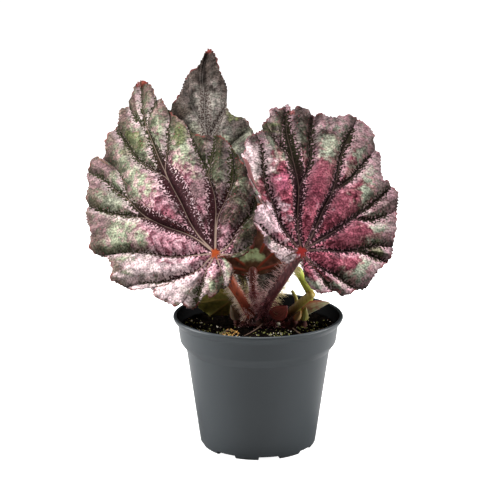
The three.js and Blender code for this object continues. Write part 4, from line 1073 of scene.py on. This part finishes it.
# The panel between two veins: pink streaks near the stalk, their palest parts partly painted highlights on
# the quilted relief, mottled silver farther out
drawn = put(tree, "ShaderNodeCombineXYZ", {
    0: calc(tree, "MULTIPLY_ADD", slow, 9, side_veins),
    1: calc(tree, "MULTIPLY", near, 0.4),
    2: calc(tree, "MULTIPLY", given["turn"], 25),
}).outputs[0]
streaks = grain(tree, drawn, 0.3, 4)
panel = mixed(tree, fade(tree, streaks, 0.38, 0.56), given["deep paint"], given["pink paint"])
panel = mixed(tree, fade(tree, streaks, 0.56, 0.74, 0, 0.6), panel, given["speckle paint"])
mottled = mixed(tree, fade(tree, blush, 0.5, 0.6, 0, 0.55), given["silver paint"], given["pink paint"])
mottled = mixed(tree, fade(tree, coarse, 0.35, 0.5, 0.35, 0), mottled, given["green paint"])
zone = calc(tree, "SUBTRACT", share, given["zone"])
zone = calc(tree, "MULTIPLY_ADD", calc(tree, "SUBTRACT", coarse, 0.5), 0.7, zone)
zone = calc(tree, "MULTIPLY_ADD", slow, 0.25, zone)
panel = mixed(tree, fade(tree, zone, -0.08, 0.1), panel, mottled)
rim = calc(tree, "MULTIPLY_ADD", slow, 0.5, share)
panel = mixed(tree, fade(tree, rim, 0.8, 0.95, 0, 0.8), panel, given["margin paint"])
cover = calc(tree, "MULTIPLY", patch, fade(tree, streaks, 0.35, 0.65, 1, 0.7))
panel = mixed(tree, cover, panel, given["patch paint"])

# Beside a vein the fold's shaded flank gets painted shade, in green, and its lit flank a painted highlight: a
# pale speckled fringe
shaded_side = calc(tree, "ABSOLUTE", calc(tree, "SUBTRACT", given["side"], given["lit side"]))
flank = product(tree, fade(tree, near, 5, 10, 1, 0), fade(tree, share, 0.35, 0.6),
                fade(tree, blush, 0.35, 0.6, 0.75, 0.3), shaded_side)
panel = mixed(tree, flank, panel, given["green paint"])
lit_flank_highlight = product(tree, fade(tree, border, 0.3, 5, 0.65, 0), fade(tree, share, 0.25, 0.6),
                 calc(tree, "SUBTRACT", 1, shaded_side), fade(tree, patch, 0, 1, 1, 0.3))
panel = mixed(tree, lit_flank_highlight, panel, given["speckle paint"])
# Brightness mottled by the grains and streaks: partly the blade's own mottling, partly painted light and
# shade of its fine quilted relief.
value = product(tree, fade(tree, fine, 0.32, 0.68, 0.5, 1.4), fade(tree, middle, 0.3, 0.7, 0.6, 1.24),
                fade(tree, coarse, 0.35, 0.6, 0.72, 1.08), fade(tree, streaks, 0.36, 0.6, 0.78, 1.14))
panel = brightened(tree, panel, value)
panel = mixed(tree, fade(tree, flecks, 0.66, 0.72, 0, 0.65), panel, given["fleck paint"])

# The dark band over the panel, then the vein's line, the star over the stalk and the red teeth, and last
# painted shade in the valleys along the veins
specks = mixed(tree, fade(tree, border, -1.2, 0.4, 0.6, 0), panel, given["speckle paint"])
dark = mixed(tree, fade(tree, share, 0.45, 0.68), given["dark paint"], given["green paint"])
dark = brightened(tree, dark, fade(tree, flecks, 0.3, 0.7, 0.7, 1.6))
look = mixed(tree, fade(tree, ragged, -0.3, 0.4, 1, 0), specks, dark)
thick = calc(tree, "MULTIPLY", given["line width"], fade(tree, share, 0, 1, 1.05, 0.5))
thin = calc(tree, "SUBTRACT", given["line"], thick)
line = calc(tree, "MULTIPLY", fade(tree, thin, -0.1, 0.25, 1, 0), fade(tree, share, 0.6, 0.95, 1, 0.1))
look = mixed(tree, line, look, given["vein paint"])
star = calc(tree, "MULTIPLY_ADD", near, 1.4, calc(tree, "MULTIPLY_ADD", slow, 6, distance))
look = mixed(tree, fade(tree, star, 2.4, 5.4, 1, 0), look, given["star paint"])
teeth = product(tree, fade(tree, given["edge gap"], 0.3, 1.8, 0.9, 0), fade(tree, coarse, 0.46, 0.58))
look = mixed(tree, teeth, look, given["tooth paint"])
# Painted shade in the valley along each vein, deeper on the fold's shaded flank.
fold = product(tree, fade(tree, near, 0, 6, 0.5, 0), fade(tree, distance, 10, 35),
               calc(tree, "MULTIPLY_ADD", shaded_side, 0.7, 0.3))
tree.links.new(brightened(tree, look, calc(tree, "SUBTRACT", 1, fold)), out["colour"])
tree.links.new(fade(tree, fine, 0.3, 0.7, 0.45, 0.62), out["roughness"])
cells = cellular(tree, plane, 0.5, "SMOOTH_F1")
lumps = calc(tree, "MULTIPLY_ADD", fine, 0.6, calc(tree, "MULTIPLY", cells, -0.9))
lumps = calc(tree, "MULTIPLY_ADD", line, 0.4, lumps)
valley = calc(tree, "MULTIPLY", fade(tree, near, 0, 7, 0, 5), fade(tree, distance, 6, 25))
tree.links.new(calc(tree, "ADD", lumps, valley), out["height"])

# The underside: dull red and green, with raised reddish veins
BACK_PAINTS = ("vein", "panel", "far", "disc")
back_marks, given, out = new_group(
    "blade back",
    {**blade_fields, "line width": "Float", "blotches": "Float", **paint_fields(BACK_PAINTS)},
    {"colour": "Color", "height": "Float"},
)
tree = back_marks
plane, distance, share = given["plane"], given["distance"], given["share"]
middle = grain(tree, plane, 0.25, 3)
zone = calc(tree, "MULTIPLY_ADD", calc(tree, "SUBTRACT", middle, 0.5), 0.5, share)
look = mixed(tree, fade(tree, zone, 0.35, 0.8), given["panel paint"], given["far paint"])
blotch = calc(tree, "MULTIPLY", given["patch"], given["blotches"])
look = mixed(tree, blotch, look, given["patch paint"])
disc = fade(tree, calc(tree, "MULTIPLY_ADD", middle, 6, distance), 9, 14, 1, 0)
look = mixed(tree, disc, look, given["disc paint"])
look = brightened(tree, look, fade(tree, middle, 0.3, 0.7, 0.75, 1.25))
thick = calc(tree, "MULTIPLY", given["line width"], fade(tree, share, 0, 1, 1.6, 0.4))
thin = calc(tree, "SUBTRACT", given["line"], thick)
line = calc(tree, "MULTIPLY", fade(tree, thin, -0.3, 0.5, 1, 0), calc(tree, "SUBTRACT", 1, blotch))
tree.links.new(mixed(tree, line, look, given["vein paint"]), out["colour"])
net = cellular(tree, plane, 0.45, "DISTANCE_TO_EDGE")
tree.links.new(calc(tree, "SUBTRACT", line, calc(tree, "MULTIPLY", net, 0.4)), out["height"])


def blade_finish(name, where, group, sizes, paints):
    """A blade's material for one side, from the group of its marks."""
    made, tree, shader = finish(name, {"Specular IOR Level": 0.02, "Roughness": 0.55})
    where = use_group(tree, where, {})
    inputs = {field: where[field] for field in blade_fields}
    colours = {f"{paint} paint": srgb(*value) for paint, value in paints.items()}
    side = use_group(tree, group, {**inputs, **sizes, **colours})
    tree.links.new(side["colour"], shader.inputs["Base Color"])
    if "roughness" in side:
        tree.links.new(side["roughness"], shader.inputs["Roughness"])
    bumped(tree, shader, side["height"], 0.6, 0.5)
    return made


FACES = {
    "leaf_left": (
        {"line width": 0.5, "zone": 0.56, "speckling": 2.8, "lit side": 0.0},
        {"vein": (146, 124, 112), "dark": (48, 26, 29), "green": (46, 48, 28), "speckle": (204, 178, 182),
         "pink": (180, 134, 144), "deep": (122, 70, 82), "silver": (144, 150, 126), "margin": (100, 76, 74),
         "star": (150, 66, 32), "tooth": (104, 54, 50), "fleck": (136, 68, 78)},
    ),
    "leaf_right": (
        {"line width": 0.55, "zone": 0.66, "speckling": 3.0, "lit side": 1.0},
        {"vein": (80, 62, 58), "dark": (36, 20, 23), "green": (36, 33, 23), "speckle": (184, 146, 156),
         "pink": (152, 80, 94), "deep": (90, 38, 48), "silver": (142, 147, 130), "margin": (122, 92, 100),
         "star": (124, 36, 34), "tooth": (92, 44, 46), "fleck": (118, 52, 64)},
    ),
    "leaf_back": (
        {"line width": 0.4, "zone": 0.3, "speckling": 30.0, "lit side": 0.5},
        {"vein": (170, 162, 154), "dark": (80, 68, 66), "green": (78, 66, 62), "speckle": (164, 156, 148),
         "pink": (140, 124, 122), "deep": (106, 92, 92), "silver": (112, 110, 102), "margin": (90, 78, 74),
         "star": (150, 80, 50), "tooth": (90, 44, 42), "fleck": (90, 76, 76)},
    ),
    "leaf_centre": (
        {"line width": 0.4, "zone": 0.5, "speckling": 1.0, "lit side": 0.5},
        {"vein": (150, 110, 90), "dark": (60, 36, 36), "green": (60, 66, 36), "speckle": (200, 170, 170),
         "pink": (170, 110, 124), "deep": (120, 60, 76), "silver": (140, 146, 110), "margin": (150, 110, 106),
         "star": (170, 60, 36), "tooth": (130, 46, 40), "fleck": (120, 60, 60)},
    ),
    "leaf_low": (
        {"line width": 0.35, "zone": 0.45, "speckling": 1.0, "lit side": 0.5},
        {"vein": (150, 130, 90), "dark": (60, 44, 32), "green": (60, 66, 30), "speckle": (170, 160, 120),
         "pink": (130, 110, 70), "deep": (96, 80, 50), "silver": (110, 116, 64), "margin": (110, 84, 56),
         "star": (150, 70, 40), "tooth": (110, 50, 36), "fleck": (90, 60, 40)},
    ),
}
BACKS = {
    "leaf_left": {"vein": (150, 70, 50), "panel": (110, 58, 56), "far": (118, 92, 80), "disc": (120, 96, 66)},
    "leaf_right": {
        "vein": (120, 48, 44), "panel": (104, 44, 52), "far": (112, 76, 76), "disc": (104, 84, 60)},
    "leaf_back": {"vein": (120, 60, 48), "panel": (96, 62, 56), "far": (104, 88, 76), "disc": (104, 90, 60)},
    "leaf_centre": {"vein": (124, 58, 42), "panel": (80, 54, 42), "far": (100, 66, 52), "disc": (84, 60, 42)},
    "leaf_low": {
        "vein": (150, 136, 76), "panel": (118, 116, 58), "far": (134, 130, 68), "disc": (138, 138, 72)},
}
ROWS = {
    "leaf_left": (46, 1.1), "leaf_right": (42, 1.1), "leaf_back": (42, 1.2), "leaf_centre": (26, 1.2),
    "leaf_low": (22, 0.9),
}
YOUNG = ("leaf_centre", "leaf_low")
YOUNG_SIZE = 0.4
for name, leaf in LEAVES.items():
    leaf["size"] = YOUNG_SIZE if name in YOUNG else 1
    sizes, paints = FACES[name]
    where = blade_marks(name, leaf)
    upper = blade_finish(f"{name}_face", where, face_marks, sizes, paints)
    sizes = {"line width": 0.6, "blotches": 1.0} if name in YOUNG else {"line width": 0.9, "blotches": 0.0}
    under = blade_finish(f"{name}_back", where, back_marks, sizes, BACKS[name])
    rows, rim_step = ROWS[name]
    skin = blade(f"{name}_skin", leaf, rows, rim_step, upper, under)
    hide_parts(f"{name}_blade")
    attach(skin, "root")

# The stalks. Juicy round petioles with shallow ribs, wider at the foot, each turning up square
# to the underside of its blade. The two big leaves' are clad in long soft hairs.
STALK_TURN = 7
STALK_STEPS = 40
FOOT_SHARE = 0.12
TOP_SHARE = 0.07
RIBS = 9
RIB_DEPTH = 0.035


def even_path(points, steps):
    """Evenly spaced points along the smooth curve through the given ones."""
    fine = through(points, 30)
    walked = np.concatenate([[0], np.cumsum([(b - a).length for a, b in zip(fine, fine[1:])])])
    places = np.linspace(0, walked[-1], steps + 1)
    return [Vector([np.interp(at, walked, [p[axis] for p in fine]) for axis in range(3)]) for at in places]


def ribbed(radius, foot_swell=0.12, top_swell=0.2):
    """A stalk's radius at a share of its length and a turn round it."""
    def at(share, turn):
        foot = foot_swell * max(0, 1 - share / FOOT_SHARE) ** 2
        top = top_swell * max(0, (share - 1) / TOP_SHARE + 1) ** 2
        return radius * (1 + foot + top) * (1 + RIB_DEPTH * math.cos(RIBS * turn + 2 * share))
    return at


# Stalk skin: changes from a low to a high colour up the stalk, with long flecks of another colour
stalk_skin, given, out = new_group(
    "stalk skin",
    {"place": "Vector", "foot": "Float", "top": "Float", **paint_fields(("low", "high", "fleck"))},
    {"colour": "Color", "height": "Float"},
)
tree = stalk_skin
height = put(tree, "ShaderNodeSeparateXYZ", {0: given["place"]}).outputs[2]
colour = mixed(tree, fade(tree, height, given["foot"], given["top"]), given["low paint"], given["high paint"])
drawn = put(tree, "ShaderNodeMapping", {"Vector": given["place"], "Scale": (1, 1, 0.25)}).outputs[0]
streaks = grain(tree, drawn, 700, 3)
colour = mixed(tree, fade(tree, streaks, 0.48, 0.68, 0, 0.8), colour, given["fleck paint"])
tree.links.new(colour, out["colour"])
tree.links.new(streaks, out["height"])


def skin_finish(name, low, high, fleck, roughness=0.4, foot=95, top=135):
    """A finish of stalk skin; foot and top are the heights in mm between which its colour changes."""
    made, tree, shader = finish(name, {"Roughness": roughness, "Specular IOR Level": 0.22})
    look = use_group(tree, stalk_skin, {
        "place": put(tree, "ShaderNodeTexCoord").outputs["Object"], "foot": foot * MM, "top": top * MM,
        "low paint": srgb(*low), "high paint": srgb(*high), "fleck paint": srgb(*fleck),
    })
    tree.links.new(look["colour"], shader.inputs["Base Color"])
    bumped(tree, shader, look["height"], 0.35, 0.3)
    return made


SKINS = {
    "leaf_left": ("stalk_red", "red_skin", (150, 70, 50), (180, 86, 52), (96, 42, 36)),
    "leaf_right": ("stalk_purple", "purple_skin", (84, 42, 46), (76, 38, 40), (124, 70, 70)),
    "leaf_back": ("stalk_green", "olive_skin", (112, 106, 62), (122, 120, 76), (84, 66, 46)),
    # The centre leaf's stalk darkens towards its top: partly the red of the blade's underside, partly painted
    # shade on the end that the top soft box lights.
    "leaf_centre": ("stalk_red", "dark_red_skin", (104, 48, 42), (84, 44, 36), (84, 34, 32)),
    "leaf_low": ("stalk_green", "low_skin", (92, 72, 48), (86, 80, 40), (66, 44, 34)),
    "cut_stalk": ("stalk_green", "stub_skin", (64, 42, 28), (168, 148, 74), (122, 94, 52), 0.35, 94, 109),
    "old_stalk": (
        "stalk_green", "yellow_skin", (146, 134, 60), (184, 196, 80), (134, 140, 60), 0.35, 96, 122),
    "shoot": ("stalk_green", "shoot_skin", (170, 160, 84), (186, 188, 104), (146, 134, 74)),
}
stalk_paths = {}
for name, form in STALKS.items():
    leaf = LEAVES[name]
    face, way, foot = (Vector(v) for v in (leaf["face"], form["way"], form["foot"]))
    face.normalize()
    way.normalize()
    top = Vector(leaf["at"]) - face * BLADE * 0.3
    turning = [top - face * STALK_TURN, top - face * 1.5, top]
    stalk_paths[name] = even_path([foot - way * 1.5, foot + way * 4, *form["bends"], *turning], STALK_STEPS)
    bm = grown_bar(stalk_paths[name], ribbed(form["radius"]), 24)
    slot, *skin = SKINS[name]
    stalk = piece(f"{name}_petiole", bm, skin_finish(*skin))
    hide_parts(f"{name}_stalk")
    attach(stalk, "root")

# Stalks without a leaf. The square-cut stump of a removed leaf leans to the right, with an old
# yellow stalk behind it and a thin young shoot beside it. All three stand in the crown.
cut_face = plain("cut_face", 0.6, (192, 174, 110))
for name, form in STUMPS.items():
    square = name == "cut_stalk"
    path = even_path(form["path"], 24)
    swell = ribbed(form["radius"], foot_swell=0.25, top_swell=-0.05 if square else -0.25)
    bm = grown_bar(path, swell, 20, aside=(0.2, 0, 1) if square else (1, 0, 0))
    slot, *skin = SKINS[name]
    stump = piece(f"{name}_stem", bm, skin_finish(*skin), cut_face)
    ahead = (path[-1] - path[-2]).normalized()
    for face in stump.data.polygons:
        if face.normal.dot(ahead) > 0.9 and (face.center / MM - path[-1]).length < form["radius"]:
            face.material_index = 1
            face.use_smooth = False
    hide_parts(name)
    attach(stump, "root")

# The bracts and the folded young leaf at the feet of the stalks: thin, pointed and papery, with
# their sides folded up about the middle line.
BRACT_THICKNESS = 0.6
PAPERS = {
    "stipule_red": ("bract", (196, 104, 92), (150, 62, 56)),
    "stipule_green": ("bract", (132, 130, 60), (110, 100, 52)),
    "stipule_cream": ("bract", (216, 188, 128), (160, 122, 78)),
    "stipule_low": ("bract", (134, 114, 94), (88, 68, 56)),
    "young_leaf": ("blade_young", (244, 238, 196), (214, 132, 104)),
}
papery, given, out = new_group(
    "papery", {"place": "Vector", "spot": "Vector", **paint_fields(("paper", "edge"))}, {"colour": "Color"},
)
tree = papery
across, _, off_middle = put(tree, "ShaderNodeSeparateXYZ", {0: given["spot"]}).outputs
lines = calc(tree, "SINE", calc(tree, "MULTIPLY", across, 24))
mottled = grain(tree, given["place"], 300, 3)
colour = mixed(tree, fade(tree, lines, -0.2, 1, 0, 0.35), given["paper paint"], given["edge paint"])
colour = mixed(tree, fade(tree, off_middle, 0.7, 1), colour, given["edge paint"])
colour = mixed(tree, fade(tree, mottled, 0.45, 0.7, 0, 0.5), colour, given["edge paint"])
tree.links.new(colour, out["colour"])

for name, form in BRACTS.items():
    way = Vector(form["way"]).normalized()
    back = Vector(form["back"])
    back = (back - way * back.dot(way)).normalized()
    side = way.cross(back)
    bm = bmesh.new()
    bmesh.ops.create_grid(bm, x_segments=16, y_segments=28, size=0.5)
    mark = bm.verts.layers.float_vector.new("leaf")
    for vertex in bm.verts:
        across, along = 2 * vertex.co.x, vertex.co.y + 0.5
        swell = math.sin(math.pi * along ** form["sharp"]) ** 0.8
        half = max(0.5 * form["width"] * swell, 1.2 * (1 - along) ** 6, 0.15)
        depth = form["fold"] * half * across * across
        rib = 0.12 * math.cos(across * 14) * (1 - along)
        curl = 0.9 * along * along * math.sin(2.2 * across + 1)
        point = Vector(form["foot"]) + way * (0.3 + form["length"] * along)
        vertex[mark] = (across, along, abs(across))
        vertex.co = (point + side * half * across - back * (depth + rib - 0.4 * curl)) * MM
    bmesh.ops.recalc_face_normals(bm, faces=bm.faces)
    slot, paint, edge_paint = PAPERS[name]
    paper, tree, shader = finish(f"{name}_paper", {
        "Roughness": 0.45, "Subsurface Weight": 0.15, "Subsurface Scale": 1 * MM,
    })
    look = use_group(tree, papery, {
        "place": put(tree, "ShaderNodeTexCoord").outputs["Object"],
        "spot": put(tree, "ShaderNodeAttribute", attribute_name="leaf").outputs["Vector"],
        "paper paint": srgb(*paint), "edge paint": srgb(*edge_paint),
    })
    tree.links.new(look["colour"], shader.inputs["Base Color"])
    bract = piece(f"{name}_bract", bm, paper)
    skin = bract.modifiers.new("thickness", "SOLIDIFY")
    skin.thickness = BRACT_THICKNESS * MM
    skin.offset = 0
    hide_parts(name)
    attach(bract, "root")

# The hairs. Soft curved hairs, 1 to 8 mm long, stand out from the skin of the stalks and of the
# crown, longest on the dark stalk. Each is a thin tapered bar rooted just under the skin.
HAIR_SIDES = 3
HAIR_RINGS = 4
HAIR_SCATTER = 0.28
HAIR_BEND = 0.16
HAIR_ROOTED = 0.96


def single_hair():
    """One straight hair along Z, 1 long and 1 thick at its foot, tapered; hairy bends each copy."""
    hair = bmesh.new()
    bmesh.ops.create_cone(hair, segments=HAIR_SIDES, radius1=0.5, radius2=0.1, depth=1,
                          matrix=Matrix.Translation((0, 0, 0.5)))
    long_edges = [e for e in hair.edges if abs(e.verts[0].co.z - e.verts[1].co.z) > 0.5]
    bmesh.ops.subdivide_edges(hair, edges=long_edges, cuts=HAIR_RINGS - 1)
    return hair


def hairy(name, count, length, thick, droop, roots, material, slot, seeds):
    """Hairs on a plant piece; roots draws a place in mm and the way out of the skin there."""
    draw = random.Random(seeds)
    coat = bmesh.new()
    strand = single_hair()
    for _ in range(count):
        foot, out = roots(draw)
        way = (out + Vector([draw.gauss(middle, HAIR_SCATTER) for middle in (0, 0, droop)])).normalized()
        side = way.orthogonal()
        bend = (side * draw.gauss(0, 1) + way.cross(side) * draw.gauss(0, 1)) * HAIR_BEND
        long = draw.uniform(*length)
        stand = way.to_track_quat("Z", "Y").to_matrix()
        copy = strand.copy()
        for vertex in copy.verts:
            x, y, z = vertex.co
            curve = bend * (z * z * long)
            vertex.co = (foot + stand @ Vector((x * thick, y * thick, z * long)) + curve) * MM
        join_in(coat, copy)
    strand.free()
    made = piece(name, coat, material)
    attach(made, "root")


def on_bar(path, radius, low, high, flank):
    """Draws a place on a stalk between two shares of its length, where its skin faces the flank:
    from the first to the second value along X."""
    def root(draw):
        number = draw.uniform(low, high) * (len(path) - 2)
        start = int(number)
        ahead = (path[start + 1] - path[start]).normalized()
        side = ahead.orthogonal().normalized()
        out = Vector((9, 0, 0))
        while not flank[0] <= out.x <= flank[1]:
            turn = draw.uniform(0, math.tau)
            out = side * math.cos(turn) + ahead.cross(side) * math.sin(turn)
        return path[start].lerp(path[start + 1], number - start) + out * radius * HAIR_ROOTED, out
    return root


cream_hair = plain("cream_hair", 0.45, (246, 226, 204))
yellow_hair = plain("yellow_hair", 0.45, (238, 222, 168))
pink_hair = plain("pink_hair", 0.45, (232, 192, 186))
dark_hair = plain("dark_hair", 0.45, (150, 84, 88))
# Shade hair: dark hairs on the back leaf's stalk, partly painted shade in the dark gap behind the stalks.
shade_hair = plain("shade_hair", 0.45, (54, 34, 30))
LEFT, RIGHT, ROUND = (-1, -0.72), (0.72, 1), (-1, 1)
COATS = [
    ("leaf_left_hairs", "leaf_left", 260, (2.4, 5.6), 0.34, (0.03, 0.62), LEFT, cream_hair, 31),
    ("leaf_left_down", "leaf_left", 80, (1.6, 3.6), 0.3, (0.2, 0.7), RIGHT, cream_hair, 40),
    ("leaf_right_hairs", "leaf_right", 150, (3.8, 7.4), 0.34, (0.1, 0.8), LEFT, pink_hair, 32),
    ("leaf_right_down", "leaf_right", 190, (3.8, 7.6), 0.34, (0.08, 0.9), RIGHT, yellow_hair, 38),
    ("leaf_back_hairs", "leaf_back", 160, (1.8, 4.2), 0.28, (0.05, 0.8), ROUND, yellow_hair, 33),
    ("leaf_back_down", "leaf_back", 460, (3.0, 7.0), 0.44, (0.2, 0.8), ROUND, shade_hair, 43),
    ("leaf_centre_hairs", "leaf_centre", 150, (2.0, 4.6), 0.3, (0.05, 0.8), ROUND, pink_hair, 34),
    ("leaf_low_hairs", "leaf_low", 40, (1.0, 2.2), 0.22, (0.05, 0.8), ROUND, cream_hair, 35),
    ("foot_hairs", "leaf_right", 330, (3.0, 6.5), 0.34, (0.0, 0.3), ROUND, dark_hair, 39),
    ("foot_down", "leaf_centre", 260, (3.0, 6.0), 0.32, (0.0, 0.4), ROUND, dark_hair, 41),
    ("foot_tufts", "leaf_left", 120, (2.0, 5.0), 0.32, (0.0, 0.2), ROUND, pink_hair, 42),
]
for name, stalk, count, length, thick, (low, high), flank, material, seeds in COATS:
    roots = on_bar(stalk_paths[stalk], STALKS[stalk]["radius"], low, high, flank)
    hairy(name, count, length, thick, 0, roots, material, SKINS[stalk][0], seeds)


def on_crown(draw):
    """Draws a place on the upper half of the crown, most of it round the big stalks' feet."""
    turn = draw.uniform(-math.pi, math.pi)
    x = draw.gauss(4, 7)
    out = Vector((draw.gauss(0, 0.25), math.sin(turn), abs(math.cos(turn)))).normalized()
    _, middle_y, middle_z = RHIZOME_MIDDLE
    return Vector((x, middle_y + out.y * RHIZOME_RADIUS, middle_z + out.z * RHIZOME_RADIUS)), out


hairy("crown_hairs", 620, (2.5, 6.5), 0.34, 0.5, on_crown, dark_hair, "rhizome_skin", 36)
hairy("crown_down", 300, (2.0, 5.0), 0.3, 0.4, on_crown, pink_hair, "rhizome_skin", 37)

# The root threads. Three thin dark roots have come loose from the crown and from the peat, and
# lie on top of it.
ROOTS = [
    [(4, -9, 91), (1, -14, 89), (-4.5, -22, 87.4), (-9.7, -29.4, 86.8)],
    [(-20, -20, 88.5), (-26, -26, 87), (-30, -34, 87.2)],
    [(24, -16, 88.5), (30, -26, 87.2), (38, -30, 87)],
]
root_skin = plain("root_skin", 0.6, (92, 66, 48))
bm = bmesh.new()
for points in ROOTS:
    path = even_path(points, 20)
    grown_bar(path, lambda share, turn: 0.45 * (1 - 0.6 * share), 8, aside=(0, 0, 1), into=bm)
roots = piece("root_threads", bm, root_skin)
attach(roots, "root")
